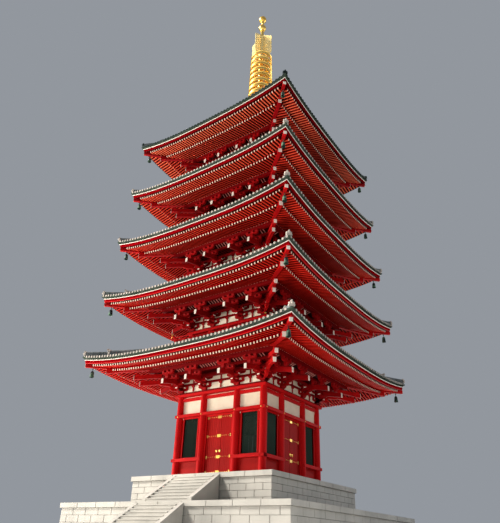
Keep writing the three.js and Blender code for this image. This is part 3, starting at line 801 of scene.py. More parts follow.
def make_roof(index):
    slope = Slope(index)
    number, edge = index + 1, slope.edge
    make(f"pan_tiles_{number}", ring(slope.storey, pan_section(slope)), "tile", 25, replaces=(f"roof_{number}",))
    covers, discs, lips = [], [], []
    rows = int((edge - 0.16) / slope.pitch)
    for i in range(-rows, rows + 1):
        t = i * slope.pitch
        stop = max(slope.rim, abs(t) + 0.12)
        for course in range(int((edge - stop) / TILE_COURSE) + 1):
            s = edge - course * TILE_COURSE
            back = max(s - TILE_COURSE, stop)
            if s - back < 0.08:
                continue
            low, high = slope.top(s, t), slope.top(back, t)
            covers.append(spot((t, -s, low - COVER_RADIUS * 0.75), (math.atan2(high - low, s - back), 0, 0),
                               (1, (s - back) / TILE_COURSE, 1)))
        discs.append(spot((t, -edge - 0.012, slope.top(edge, t) - END_RADIUS - 0.015)))
        middle = t + slope.pitch / 2
        if abs(middle) < edge - 0.1:
            lips.append(spot((middle, -edge, slope.top(edge, middle) - PAN_DEPTH - 0.03)))
    shaded = number == len(STOREYS)
    copies_round(f"cover_tiles_{number}", "cover tile", covers, "tile", 50, jitter=0.008)
    copies_round(f"end_discs_{number}", "end disc", discs, "top_tile" if shaded else "end_tile", 50)
    copies_round(f"pan_lips_{number}", "pan lip", lips, "top_tile" if shaded else "lip_tile", 50)
    break_at = edge - 1.25
    ridges = ridge_form(slope, slope.rim + 0.32, break_at, 1.0)
    ridges.join(ridge_form(slope, break_at - 0.1, edge - 0.10, 0.74))
    make(f"hip_ridges_{number}", ridges.four(EIGHTH), "tile", 30)
    ends = ridge_end(slope, break_at, 0.8).join(ridge_end(slope, edge - 0.06, 0.56))
    make(f"ridge_ends_{number}", ends.four(EIGHTH), "top_tile" if shaded else "end_tile", 40)


RIDGE_SECTION = [  # half-width, height above the tiles
    (0.17, -0.12), (0.17, 0.05), (0.19, 0.05), (0.19, 0.09), (0.15, 0.09), (0.15, 0.15), (0.17, 0.15),
    (0.17, 0.19), (0.13, 0.19), (0.13, 0.24), (0.09, 0.26), (0.08, 0.31), (0.05, 0.345), (0.0, 0.36)]
SHIELD = [(0.32, -0.06), (0.36, 0.08), (0.27, 0.20), (0.33, 0.34), (0.21, 0.34), (0.13, 0.45)]


def ridge_form(slope, start, stop, size):
    """A hip ridge of stacked flat tiles under a round cap, between two distances out."""
    steps = 10
    rings = []
    for i in range(steps + 1):
        s = start + (stop - start) * i / steps
        z = slope.top(s, s)
        half = [(y * size, z + h * size if h > 0 else z + h) for y, h in RIDGE_SECTION]
        rings.append([(s * ROOT, -y, h) for y, h in half] + [(s * ROOT, y, h) for y, h in reversed(half[:-1])])
    return Form().loft(rings)


def ridge_end(slope, s, size):
    """The shield tile that closes a ridge: a horned plate with a boss, and a tube that curls up."""
    outline = [(-y, h) for y, h in SHIELD] + [(0.0, 0.49)] + SHIELD[::-1]
    x, z = s * ROOT, slope.top(s, s)
    form = Form().loft([[(x + depth, y * size * shrink, z + h * size * shrink) for y, h in outline]
                        for depth, shrink in ((-0.10, 1.0), (0.0, 1.0), (0.035, 0.86))])
    form.loft([[(x + depth, b, z + 0.22 * size + a) for a, b in circle(radius * size, 8)]
               for depth, radius in ((0.03, 0.13), (0.08, 0.11), (0.11, 0.05))])
    tube = []
    for i in range(6):
        share = i / 5
        front, up = x - 0.22 + 0.44 * share * size, z + (0.42 + 0.12 * share ** 2) * size
        tube.append([(front - 0.6 * share * a, b, up + a) for a, b in circle(0.09 * size, 8)])
    return form.loft(tube)


# Brackets: three steps out from the wall, then the slanted tail rafter that carries the purlin
STEP_OUT = PURLIN["at"] / 3
ARM_HALF, ARM_HEIGHT = 0.085, 0.17
ARM_LEVELS = (-1.22, -0.90, -0.62)
TAIL = {"half": 0.09, "inner": -0.32, "outer": -0.78, "depth": 0.33, "reach": 2.18}
CORNER_TAILS = [(2.20, -0.28, -0.74, 0.30), (2.54, 0.20, -0.33, 0.29)]
SEAT_ARM = PURLIN["low"] - 0.31
COVING = {"low": -0.13, "reach": 0.44, "high": 0.02}
CEILING_PITCH = 0.24
TIE_BEAMS = [  # distance out from the wall, low, high
    (0, -1.55, -1.36), (0, -0.90, -0.74), (0, -0.30, -0.14), (STEP_OUT, -0.62, -0.46),
    (2 * STEP_OUT, -0.32, -0.16)]


def bracket_arm(low, reach, inner=None):
    """Outline of a bracket arm whose ends curve up. Inner gives an end that runs into the wall."""
    top = low + ARM_HEIGHT
    right = [(reach - 0.22, low), (reach - 0.12, low + 0.012), (reach - 0.05, low + 0.045), (reach, low + 0.10),
             (reach, top)]
    if inner is not None:
        return [*right, (inner, top), (inner, low)]
    return [*right, *((-x, z) for x, z in reversed(right))]


def bearing_block(x, y, low, half=0.12, height=0.13):
    """A block with a dished lower half that carries the next arm or beam."""
    return square_layers([(half * size, low + height * share) for size, share in (
        (0.72, 0.0), (0.80, 0.18), (1.0, 0.45), (1.0, 1.0))], x, y)


def add_tail(red, white, reach, inner, outer, depth, half):
    """A tail rafter that runs out to reach, and the white paint on its end."""
    red.join(bar([(0.0, half, inner - depth, inner), (-reach, half, outer - depth, outer)]))
    add_end_paint(white, -reach, outer - depth, outer, half)


def add_end_paint(white, y, low, high, half):
    white.box((-half - WHITE_LIP, y - 0.014, low - WHITE_LIP), (half + WHITE_LIP, y + 0.010, high + WHITE_LIP))


def make_bracket_set():
    red, white = Form(), Form()
    first, second, third = ARM_LEVELS
    one, two, three = -STEP_OUT, -2 * STEP_OUT, -PURLIN["at"]
    red.join(bearing_block(0, 0, -1.40, 0.22, 0.18))
    red.join(bearing_block(0, 0, second + 0.16, 0.13, 0.13))
    for level, reach in ((first, 0.58), (third, 0.66)):
        red.join(extruded(bracket_arm(level, reach), ARM_HALF))
        for x in (-reach + 0.12, 0, reach - 0.12):
            red.join(bearing_block(x, 0, level + ARM_HEIGHT, 0.115, 0.15))
    for level, y in ((first, one), (second, two)):
        red.join(extruded(bracket_arm(level, -y + 0.14, -0.1), ARM_HALF, spin(-QUARTER)))
        red.join(bearing_block(0, y, level + ARM_HEIGHT))
        add_end_paint(white, y - 0.14, level + 0.10, level + 0.165, ARM_HALF)
    for level, y, reach in ((second, one, 0.50), (third, two, 0.46), (SEAT_ARM, three, 0.52)):
        red.join(extruded(bracket_arm(level, reach), ARM_HALF, at(0, y, 0)))
        for x in (-reach + 0.11, 0, reach - 0.11):
            red.join(bearing_block(x, y, level + ARM_HEIGHT, 0.105, 0.14))
    for x in (-0.50, 0.50):
        white.box((x - 0.012, one - ARM_HALF - 0.006, second + 0.10),
                  (x + 0.012, one + ARM_HALF + 0.006, second + 0.17))
    red.join(bearing_block(0, three, SEAT_ARM - 0.27, 0.13, 0.28))
    add_tail(red, white, TAIL["reach"], TAIL["inner"], TAIL["outer"], TAIL["depth"], TAIL["half"])
    unit_of("bracket", red)
    unit_of("bracket whites", white)


def make_corner_set():
    red, white = Form(), Form()
    for level, reach in ((ARM_LEVELS[0], STEP_OUT * ROOT), (ARM_LEVELS[1], 2 * STEP_OUT * ROOT)):
        red.join(extruded(bracket_arm(level, reach + 0.14, -0.1), ARM_HALF + 0.01, spin(-QUARTER)))
        red.join(bearing_block(0, -reach, level + ARM_HEIGHT, 0.14, 0.14))
    for reach, inner, outer, depth in CORNER_TAILS:
        add_tail(red, white, reach * ROOT, inner, outer, depth, 0.105)
    (near, *_), (far, *_) = CORNER_TAILS
    red.join(bearing_block(0, -near * ROOT + 0.2, -0.75, 0.13, 0.15))
    red.join(bearing_block(0, -far * ROOT + 0.25, -0.34, 0.13, 0.16))
    unit_of("corner bracket", red)
    unit_of("corner whites", white)


def make_bracket_units():
    make_bracket_set()
    make_corner_set()
    strut = Form().box((-0.055, -0.05, 0.0), (0.055, 0.0, 0.30)).join(bearing_block(0, 0, 0.29, 0.12, 0.13))
    unit_of("strut", strut)
    rib = []
    for share, bow in ((0.0, 0.0), (0.3, 0.015), (0.7, 0.015), (1.0, 0.0)):
        z = COVING["low"] + (COVING["high"] - COVING["low"]) * share + bow
        rib.append((-COVING["reach"] * share, 0.022, z - 0.03, z + 0.03))
    unit_of("coving rib", bar(rib))
    unit_of("rafter stop", Form().box((-0.034, -0.012, -0.032), (0.034, 0.012, 0.032)))
    unit_of("ceiling rib", Form().box((-0.02, -STEP_OUT * 2, -0.035), (0.02, 0.0, 0.0)))


def make_brackets(storey, number):
    b, z, pitch = storey["body"], storey["z"], storey["pitch"]
    lines = [-b, -INNER_COLUMN * b, INNER_COLUMN * b, b]
    sets = [spot((t, -b, z)) for t in lines]
    copies_round(f"bracket_sets_{number}", "bracket", sets, "bracket", replaces=(f"brackets_{number}",))
    copies_round(f"bracket_ends_{number}", "bracket whites", sets, "white")
    corners = [spot((b, -b, z), (0, 0, EIGHTH))]
    copies_round(f"corner_brackets_{number}", "corner bracket", corners, "hip")
    copies_round(f"corner_bracket_ends_{number}", "corner whites", corners, "white")
    struts, ribs = [], []
    for left, right in zip(lines, lines[1:]):
        middle = (left + right) / 2
        struts += [spot((middle, -b - 0.035, z + level)) for level in (-1.33, -0.735)]
        count = int((right - left - 0.9) / pitch)
        ribs += [middle + (i - (count - 1) / 2) * pitch for i in range(count)]
    ribs += [hand * (b + 0.57 + i * pitch) for hand in (-1, 1) for i in range(2)]
    ribs = [spot((t, -b - 2 * STEP_OUT - 0.04, z)) for t in ribs]
    copies_round(f"struts_{number}", "strut", struts, "bracket")
    copies_round(f"coving_ribs_{number}", "coving rib", ribs, "rib")
    make(f"frieze_plaster_{number}", level_ring(b + 0.025, b - 0.12, z - 1.45, z - 0.2), "plaster")
    beams = Form()
    for out, low, high in TIE_BEAMS:
        beams.join(level_ring(b + out + ARM_HALF, b + out - ARM_HALF, z + low, z + high))
    beams.join(level_ring(b + 0.05, b - 0.12, z - 0.15, z + 0.50))
    beams.join(level_ring(b + PURLIN_FACE, b + PURLIN["at"] - PURLIN["half"],
                          z + PURLIN["low"], z + PURLIN["high"]))
    make(f"tie_beams_{number}", beams, "beam")
    lining = level_ring(b + 2 * STEP_OUT + 0.06, b + 0.05, z - 0.14, z - 0.11)
    start, end = b + 2 * STEP_OUT + 0.02, b + PURLIN["at"] - PURLIN["half"] + 0.02
    foot, head = COVING["low"] + 0.04, COVING["high"] + 0.06
    lining.join(ring(storey, [(start, foot, 0), (end, head, 0), (end, head + BOARD, 0), (start, foot + BOARD, 0)]))
    make(f"bracket_ceilings_{number}", lining, "board")
    count = int((b + 2 * STEP_OUT) / CEILING_PITCH)
    grid = [spot((i * CEILING_PITCH, -b, z - 0.14)) for i in range(-count, count + 1)]
    copies_round(f"ceiling_ribs_{number}", "ceiling rib", grid, "beam")
    face = b + PURLIN_FACE
    rows = 2 * int((face - 0.1) / pitch) - 1
    stops = [spot(((i - (rows - 1) / 2) * pitch, -face - 0.005, z + PURLIN["high"] + 0.05)) for i in range(rows)]
    copies_round(f"rafter_stops_{number}", "rafter stop", stops, "rib")


# Walls
WALL_FACE, WALL_BACK = -0.04, -0.24
PLATE_TOP, PLATE_HEIGHT = -1.55, 0.17
FIRST_WINDOW = {"sill": 1.35, "head": 3.95, "half": 0.62, "frame": 0.09, "bars": 0.082}
UPPER_WINDOW = {"below": 0.52, "height": 0.46, "post": 0.35, "frame": 0.06, "bars": 0.118}
BAR_HALF = 0.038
DOOR = {"half": 1.05, "head": 3.95, "sill": 0.24}
SEAT = 0.90
COLUMN = [(0.250, 0.0), (0.250, 0.10), (0.247, 0.5), (0.243, 0.9), (0.235, 0.96), (0.222, 1.0)]
COLUMN_FOOT = [(0.36, 0.0), (0.37, 0.04), (0.34, 0.10), (0.29, 0.13), (0.27, 0.14)]
NAIL_COVER = [(0.034, 0.0), (0.034, 0.006), (0.026, 0.020), (0.012, 0.029), (0.0, 0.032)]


def make_wall_units():
    unit_of("window bar", Form().loft([[(x, y, z) for x, y in circle(BAR_HALF, 4)] for z in (0.0, 1.0)]))
    unit_of("wall column", turned(COLUMN, 28), 40)
    unit_of("column foot", turned(COLUMN_FOOT, 28), 50)
    unit_of("nail cover", turned(NAIL_COVER, 12, spin(QUARTER, "X")), 60)


def frame_around(x0, x1, z0, z1, rail, near, far):
    """Four rails round an opening."""
    form = Form()
    for z in (z0 - rail, z1):
        form.box((x0 - rail, near, z), (x1 + rail, far, z + rail))
    for x in (x0 - rail, x1):
        form.box((x, near, z0), (x + rail, far, z1))
    return form


class Wall:
    """The parts of one side of a storey between its columns, gathered by what they are made of."""

    def __init__(self, storey, number, low):
        self.b, self.low, self.first = storey["body"], low, number == 1
        self.plate_low = storey["z"] + PLATE_TOP - PLATE_HEIGHT
        self.near, self.far = -self.b - WALL_FACE, -self.b - WALL_BACK
        self.bay = self.b * (1 - INNER_COLUMN) / 2
        if self.first:
            self.kind = FIRST_WINDOW
            self.half, self.sill, self.head = FIRST_WINDOW["half"], FIRST_WINDOW["sill"], FIRST_WINDOW["head"]
        else:
            self.kind = UPPER_WINDOW
            self.half = self.bay - UPPER_WINDOW["post"]
            self.head = self.plate_low - UPPER_WINDOW["below"]
            self.sill = self.head - UPPER_WINDOW["height"]
        self.boards, self.plaster, self.frames, self.bars = Form(), Form(), Form(), []

    def panel(self, form, x0, x1, z0, z1):
        form.box((x0, self.near, z0), (x1, self.far, z1))

    def add_window(self, centre):
        left, right, half = centre - self.bay, centre + self.bay, self.half
        self.panel(self.boards, left, right, self.low, self.sill)
        self.panel(self.boards, left, centre - half, self.sill, self.head)
        self.panel(self.boards, centre + half, right, self.sill, self.head)
        self.panel(self.plaster, left, right, self.head, self.plate_low + 0.02)
        self.frames.join(frame_around(centre - half, centre + half, self.sill, self.head, self.kind["frame"],
                                      self.near - 0.05, self.far + 0.02))
        count = int(2 * half / self.kind["bars"])
        spacing, middle = 2 * half / count, (self.near + self.far) / 2
        self.bars += [spot((centre + (i + 0.5 - count / 2) * spacing, middle, self.sill),
                           size=(1, 1, self.head - self.sill)) for i in range(count)]

    def add_doorway(self, wide):
        half, head, sill = DOOR["half"], DOOR["head"], DOOR["sill"]
        self.panel(self.boards, -wide, -half, self.low, head)
        self.panel(self.boards, half, wide, self.low, head)
        self.panel(self.boards, -wide, wide, self.low, sill)
        self.panel(self.plaster, -wide, wide, head, self.plate_low + 0.02)
        self.frames.join(frame_around(-half, half, sill, head, 0.11, self.near - 0.06, self.far + 0.02))

    def add_closed_doors(self, wide):
        """The fixed doors of an upper storey, as frames on its middle boards."""
        near, sill, head = self.near, self.sill - 0.30, self.head
        leaf = wide - 0.30
        self.panel(self.plaster, -wide, wide, head + 0.1, self.plate_low + 0.02)
        self.panel(self.boards, -wide, wide, self.low, head + 0.1)
        self.frames.join(frame_around(-leaf, leaf, sill, head, 0.07, near - 0.05, near))
        for side in (-1, 1):
            inner, outer = sorted((side * 0.012, side * leaf))
            self.frames.box((inner, near - 0.030, sill), (outer, near, head))
            self.frames.join(frame_around(inner + 0.06, outer - 0.06, sill + 0.08, head - 0.08, 0.055,
                                          near - 0.045, near - 0.02))


def make_walls(storey, number, low):
    wall = Wall(storey, number, low)
    b, plate_low, wide = wall.b, wall.plate_low, INNER_COLUMN * wall.b
    for hand in (-1, 1):
        wall.add_window(hand * b * (1 + INNER_COLUMN) / 2)
    if wall.first:
        wall.add_doorway(wide)
    else:
        wall.add_closed_doors(wide)
    make(f"wall_boards_{number}", wall.boards.four(), "door", replaces=(f"walls_{number}",))
    make(f"wall_plaster_{number}", wall.plaster.four(), "plaster")
    make(f"window_frames_{number}", wall.frames.four(), "red")
    copies_round(f"window_bars_{number}", "window bar", wall.bars, "dark")
    tall = plate_low - low + 0.02
    lines = (-b, -wide, wide)
    columns = [spot((x, -b, low), size=(1, 1, tall)) for x in lines]
    copies_round(f"columns_{number}", "wall column", columns, "red", 40)
    bands = level_ring(b + 0.34, b - 0.30, plate_low, storey["z"] + PLATE_TOP)
    levels = [(plate_low - 0.30, 0.22, 0.10)]
    if wall.first:
        levels += [(low + 0.02, 0.24, 0.28), (wall.head + 0.10, 0.20, 0.27)]
        sills = Form()
        for hand in (-1, 1):
            x0, x1 = sorted((hand * (wide - 0.16), hand * (b + 0.27)))
            sills.box((x0, -b - 0.27, wall.sill - 0.28), (x1, -b + 0.1, wall.sill - 0.08))
        bands.join(sills.four())
    for base, height, out in levels:
        bands.join(level_ring(b + out, b - 0.1, base, base + height))
    make(f"wall_bands_{number}", bands, "red")
    if wall.first:
        copies_round("column_feet", "column foot", [spot((x, -b, low)) for x in lines], "stone", 50)
        base, height, out = levels[-1]
        covers = [spot((x, -b - out, base + height / 2), size=(1.6, 1.6, 1.6)) for x in (*lines, b)]
        copies_round("band_nail_covers", "nail cover", covers, "gilt", 60)


# Doors of the first storey
STILE, BATTEN = 0.14, 0.16
DOOR_BOARDS = 5
PULL = [(0.07, 0.0), (0.075, 0.008), (0.03, 0.02), (0.0, 0.022)]


def make_doors(storey):
    """Two leaves a side: a frame, sunk boards with battens, gilt straps, studs and rings."""
    wide, sill, head = DOOR["half"] - 0.002, DOOR["sill"] + 0.002, DOOR["head"] - 0.002
    near, far = -storey["body"] + 0.06, -storey["body"] + 0.18
    levels = [sill, sill + 0.95, sill + 2.30, head - BATTEN]
    leaves, gilding, studs = Form(), Form(), []
    for hand in (-1, 1):
        inner, outer = sorted((hand * 0.006, hand * wide))
        leaves.box((inner, near + 0.03, sill), (outer, far - 0.02, head))
        for x0 in (inner, outer - STILE):
            leaves.box((x0, near, sill), (x0 + STILE, far, head))
        span = (outer - inner - 2 * STILE) / DOOR_BOARDS
        for i in range(DOOR_BOARDS):
            x0 = inner + STILE + i * span
            leaves.box((x0 + 0.006, near + 0.018, sill + 0.1), (x0 + span - 0.006, near + 0.035, head - 0.1))
        for level in levels:
            leaves.box((inner, near, level), (outer, far, level + BATTEN))
            for x in (inner + STILE / 2, outer - STILE / 2):
                gilding.box((x - 0.075, near - 0.006, level - 0.01), (x + 0.075, near + 0.004, level + 0.17))
            studs += [(inner + (outer - inner) * (i + 1.5) / 6, near, level + BATTEN / 2) for i in range(4)]
        gilding.join(turned(PULL, 20, at(hand * 0.13, near, sill + 1.42) @ spin(QUARTER, "X")))
        gilding.join(hoop(0.055, 0.010, at(hand * 0.13, near - 0.018, sill + 1.37)))
    for quarter, side in enumerate(("front", "right", "back", "left")):
        turn = spin(quarter * QUARTER)
        make(f"{side}_door_leaves", Form().join(leaves, turn), "door", replaces=(f"{side}_doors",))
        make(f"{side}_door_fittings", Form().join(gilding, turn), "gilt", 40)
        places = [spot(turn @ Vector(p), (0, 0, quarter * QUARTER)) for p in studs]
        copies(f"{side}_door_studs", "nail cover", places, "gilt", 60)


# Balconies
BALCONY = {"inner": 0.34, "outer": 1.02, "thickness": 0.12}
DECK_BOARD, DECK_PITCH = 0.03, 0.16
RAIL_AT, RAIL_PAST, RAIL_RADIUS, RAIL_HEIGHT = 0.94, 0.34, 0.042, 0.56
LOW_RAILS = [(0.06, 0.08, 0.045), (0.30, 0.055, 0.05)]
POSTS_A_SIDE = 5
TIP_LIFT = 0.11
RAIL_TIP = [(0.050, -0.05), (0.052, 0.0), (0.046, 0.05), (0.0, 0.055)]


def make_balcony(storey, number, low):
    b = storey["body"]
    edge, inside, top = b + BALCONY["outer"], b + BALCONY["inner"], low + BALCONY["thickness"]
    s = b + RAIL_AT
    deck = level_ring(edge, inside, low, top - DECK_BOARD)
    make(f"balcony_frame_{number}", deck, "red", replaces=(f"balcony_{number}",))
    boards = []
    count = int(edge / DECK_PITCH)
    for x in (i * DECK_PITCH for i in range(-count, count + 1)):
        length = edge - max(inside, abs(x) + 0.02)
        if length > 0.1:
            boards.append(spot((x, -edge - 0.015, top - DECK_BOARD), size=(1, length, 1)))
    copies_round(f"balcony_boards_{number}", "deck board", boards, "board")
    rails = Form()
    for base, height, half in LOW_RAILS:
        rails.join(level_ring(s + half, s - half, top + base, top + base + height))
    end, height = s + RAIL_PAST, top + RAIL_HEIGHT
    curve = [(s, 0.0), (s + RAIL_PAST * 0.55, 0.035), (end, TIP_LIFT)]
    curve = [(-x, lift) for x, lift in reversed(curve)] + curve
    side = Form().loft([[(x, -s + a, height + lift + c) for a, c in circle(RAIL_RADIUS, 10)] for x, lift in curve])
    make(f"balcony_rails_{number}", rails.join(side.four()), "red", 40)
    posts = [spot((-s + 2 * s * i / POSTS_A_SIDE, -s, top)) for i in range(POSTS_A_SIDE)]
    copies_round(f"balcony_posts_{number}", "rail post", posts, "red")
    tips = Form()
    for hand in (-1, 1):
        tips.join(turned(RAIL_TIP, 12, at(hand * end, -s, height + TIP_LIFT) @ spin(hand * QUARTER, "Y")))
    make(f"rail_tips_{number}", tips.four(), "gilt", 50)


def make_balcony_units():
    unit_of("deck board", Form().box((-0.074, 0, 0), (0.074, 1, DECK_BOARD)))
    post = Form().box((-0.045, -0.045, 0.0), (0.045, 0.045, 0.36)).join(bearing_block(0, 0, 0.355, 0.07, 0.09))
    unit_of("rail post", post.box((-0.035, -0.035, 0.44), (0.035, 0.035, 0.53)))


# Stone base
BASE_TIERS = [(8.6, -5.0, -1.8), (5.6, -1.8, 0.0)]
STONE = {"height": 0.40, "length": 1.15, "coping": 0.30, "coping_length": 1.6, "proud": 0.10, "gap": 0.012}
SLAB, SLAB_THICK = 0.95, 0.05
STEPS = {"rise": 0.2, "going": 0.3, "half": 1.9, "cheek": 0.3}
ARRIS = 0.02


def make_stone_units():
    block = [[(-x, y, -x), (-x, y, x), (x, y, x), (x, y, -x)]
             for y, x in ((0.30, 0.5), (ARRIS, 0.5), (0.0, 0.5 - ARRIS))]
    unit_of("stone block", Form().loft(block))
    unit_of("flagstone", square_layers([(0.5, 0), (0.5, 0.8), (0.5 - ARRIS, 1)]))


def block_spots(half, low, high):
    """The stones of one side of a tier, in courses that break joint."""
    face = half - STONE["proud"]
    top = high - STONE["coping"]
    courses = round((top - low) / STONE["height"])
    height = (top - low) / courses
    length = 2 * face / (int(2 * face / STONE["length"]) + 0.5)
    spots = []
    for row in range(courses):
        x = -face
        while x < face - 0.05:
            size = min(length * (0.5 if (x == -face and row % 2) else 1.0), face - x)
            spots.append((row, (x + size / 2, -face, low + (row + 0.5) * height),
                          (size - STONE["gap"], 1, height - STONE["gap"])))
            x += size
    return spots


def make_base():
    core = Form()
    blocks, coping = [], []
    for half, low, high in BASE_TIERS:
        back = half - STONE["proud"] - 0.12
        core.box((-back, -back, low), (back, back, high - 0.05))
        for row, (x, y, z), size in block_spots(half, low, high):
            uneven = 0.002 * ((row * 7 + len(blocks)) % 5)
            blocks.append(spot((x, y + uneven, z), size=size))
        count = int(2 * half / STONE["coping_length"])
        length = 2 * half / count
        coping += [spot((-half + (i + 0.5) * length, -half, high - STONE["coping"] / 2),
                        size=(length - STONE["gap"], 1, STONE["coping"] - 0.004)) for i in range(count)]
    make("base_core", core, "stone", replaces=("stone_base",))
    copies_round("base_blocks", "stone block", blocks, "stone", jitter=0.002)
    copies_round("base_coping", "stone block", coping, "stone")
    for name, inner, (half, low, high) in zip(("lower", "upper"), (5.5, 3.2), BASE_TIERS):
        count = round(2 * half / SLAB)
        step = 2 * half / count
        centres = [-half + (i + 0.5) * step for i in range(count)]
        flags = [spot((x, y, high - SLAB_THICK), size=(step - STONE["gap"], step - STONE["gap"], SLAB_THICK))
                 for x in centres for y in centres
                 if max(abs(x), abs(y)) + step / 2 > inner + 0.05 and max(abs(x), abs(y)) < half - 0.3]
        copies(f"paving_{name}", "flagstone", flags, "paving", jitter=0.0015)


def flight(count):
    """Steps of two stones each between sloping cheeks, run out towards -Y from the origin."""
    form = Form()
    rise, going, half, cheek = STEPS["rise"], STEPS["going"], STEPS["half"], STEPS["cheek"]
    edge = half - cheek
    for i in range(count):
        front, top = -(count - i) * going, (i + 1) * rise
        form.box((-edge, front + 0.03, i * rise), (edge, 0, top - 0.05))
        tread = [(0.0, top - 0.05), (front + 0.01, top - 0.05), (front, top - 0.04), (front, top - 0.008),
                 (front + 0.008, top), (0.0, top)]
        for left in (-edge, 0.0):
            form.loft([[(x, y, z) for y, z in tread] for x in (left + 0.004, left + edge - 0.004)])
    run, tall = count * going, count * rise
    outline = [(0, 0), (-run, 0), (-run, rise + 0.02), (-run + 0.1, rise + 0.06), (0, tall + 0.10)]
    for left in (-half, edge):
        form.loft([[(x, y, z) for y, z in outline] for x in (left, left + cheek)])
    return form


def make_steps():
    for side, turn in (("front", 0.0), ("back", math.pi)):
        for tier, (half, low, high) in zip(("lower", "upper"), BASE_TIERS):
            whole = Form().join(flight(round((high - low) / STEPS["rise"]) - 1), spin(turn) @ at(0, -half, low))
            make(f"{side}_{tier}_stone_steps", whole, "stone", replaces=(f"{side}_{tier}_steps",))


def make_floor():
    half, count = STOREYS[0]["body"] - 0.262, 7
    step = 2 * half / count
    centres = [-half + (i + 0.5) * step for i in range(count)]
    slabs = [spot((x, y, 0.0), size=(step - 0.01, step - 0.01, 0.119)) for x in centres for y in centres]
    copies("floor_slabs", "flagstone", slabs, "paving", replaces=("ground_floor",))


# Spire
SPIRE = {
    "basin": (32.80, 33.90), "bowl": (33.90, 35.20), "mast": 45.90, "rings": 9, "lowest": 35.38,
    "pitch": 0.766, "low_radius": 1.23, "high_radius": 1.08, "flame": (41.80, 45.20),
    "ball": (46.36, 0.39), "jewel": (47.70, 0.40, 48.30)}
SEAM = 0.001
# Profiles: (radius or half-width, height) over the low or the high end of a part
BASIN_FOOT = [(1.00, SEAM), (1.00, 0.12), (0.96, 0.16), (0.86, 0.18), (0.82, 0.22)]
BASIN_HEAD = [
    (0.82, -0.30), (0.88, -0.26), (0.90, -0.20), (0.97, -0.17), (0.98, -0.15), (0.98, -0.02), (0.96, 0.0)]
BASIN_BOSS = [(0.14, 0.0), (0.13, 0.02), (0.05, 0.035), (0.03, 0.05), (0.0, 0.052)]
BOWL_FOOT = [
    (0.86, 0.0), (0.88, 0.03), (0.87, 0.08), (0.84, 0.10), (0.84, 0.24), (0.80, 0.40), (0.70, 0.55), (0.55, 0.67),
    (0.38, 0.74), (0.33, 0.78), (0.36, 0.82), (0.34, 0.86), (0.40, 0.92)]
BOWL_HEAD = [(0.60, -0.24), (0.74, -0.14), (0.80, -0.10), (0.80, -0.01), (0.0, 0.0)]
PETALS = 16
HUB = [(0.20, -0.13), (0.27, -0.11), (0.29, 0.0), (0.27, 0.11), (0.20, 0.13)]
RING_RIM = [  # distance in from the ring's radius, height over its middle
    (0.11, -0.20), (0.02, -0.215), (0.0, -0.19), (0.01, -0.16), (0.05, -0.13), (0.06, 0.10), (0.02, 0.13),
    (0.0, 0.16), (0.02, 0.20), (0.10, 0.205), (0.15, 0.17), (0.12, 0.13), (0.11, -0.13), (0.14, -0.17)]
SPOKES = 8
COLLAR = [(0.16, -0.26), (0.26, -0.20), (0.30, -0.16), (0.30, -0.02), (0.28, 0.0)]
SLEEVE_FOOT = [(0.19, 0.0), (0.27, 0.0), (0.27, 0.06), (0.235, 0.10)]
SLEEVE_HEAD = [(0.235, -0.42), (0.27, -0.38), (0.27, -0.32), (0.19, -0.30)]


def over(profile, base):
    return [(radius, base + height) for radius, height in profile]


def make_basin():
    low, high = SPIRE["basin"]
    panels = Form()
    for x in (-0.41, 0.41):
        panels.join(frame_around(x - 0.30, x + 0.30, low + 0.32, high - 0.40, 0.045, -0.845, -0.80))
        panels.join(turned(BASIN_BOSS, 16, at(x, -0.82, (low + high) / 2 - 0.04) @ spin(QUARTER, "X")))
    form = square_layers(over(BASIN_FOOT, low) + over(BASIN_HEAD, high)).join(panels.four())
    make("spire_basin", form, "gilt", 40, replaces=("dew_basin",))


def make_bowl():
    low, high = SPIRE["bowl"]
    form = turned(over(BOWL_FOOT, low) + over(BOWL_HEAD, high), 40)
    petal, thick = [], 0.035
    for share in (0.0, 0.25, 0.5, 0.75, 0.92, 1.0):
        out, up = 0.40 + 0.52 * share, low + 0.86 + 0.44 * share ** 1.6
        half = 0.16 * math.sin(math.pi * min(0.97, 0.28 + 0.72 * share)) ** 0.7 + 0.005
        petal.append([(out, -half, up), (out + thick * 0.4, 0, up - thick * 1.6), (out, half, up),
                      (out - thick * 0.3, 0, up + thick * 0.5)])
    for i in range(PETALS):
        form.join(Form().loft(petal), spin(2 * math.pi * i / PETALS))
    make("spire_bowl", form, "gilt", 45, replaces=("lotus_bowl",))


def make_rings():
    foot = SPIRE["bowl"][1] + SEAM
    mast = turned([(0.24, foot), (0.24, foot + 0.06), (0.20, foot + 0.10), (0.16, SPIRE["mast"])], 20)
    for i in range(SPIRE["rings"]):
        share = i / (SPIRE["rings"] - 1)
        radius = SPIRE["low_radius"] + (SPIRE["high_radius"] - SPIRE["low_radius"]) * share
        z = SPIRE["lowest"] + i * SPIRE["pitch"]
        mast.loft([[((radius - back) * u, (radius - back) * v, z + h) for back, h in RING_RIM]
                   for u, v in circle(1, 40)], closed_path=True)
        mast.join(turned(HUB, 16, at(0, 0, z)))
        spoke = bar([(0.2, 0.035, -0.06, 0.06), (radius - 0.1, 0.025, -0.10, 0.10)], "X")
        for k in range(SPOKES):
            mast.join(spoke, spin(2 * math.pi * k / SPOKES) @ at(0, 0, z))
    mast.join(turned(over(COLLAR, SPIRE["flame"][0] - SEAM), 20))
    make("spire_rings", mast, "gilt", 40, replaces=("ring_mast",))


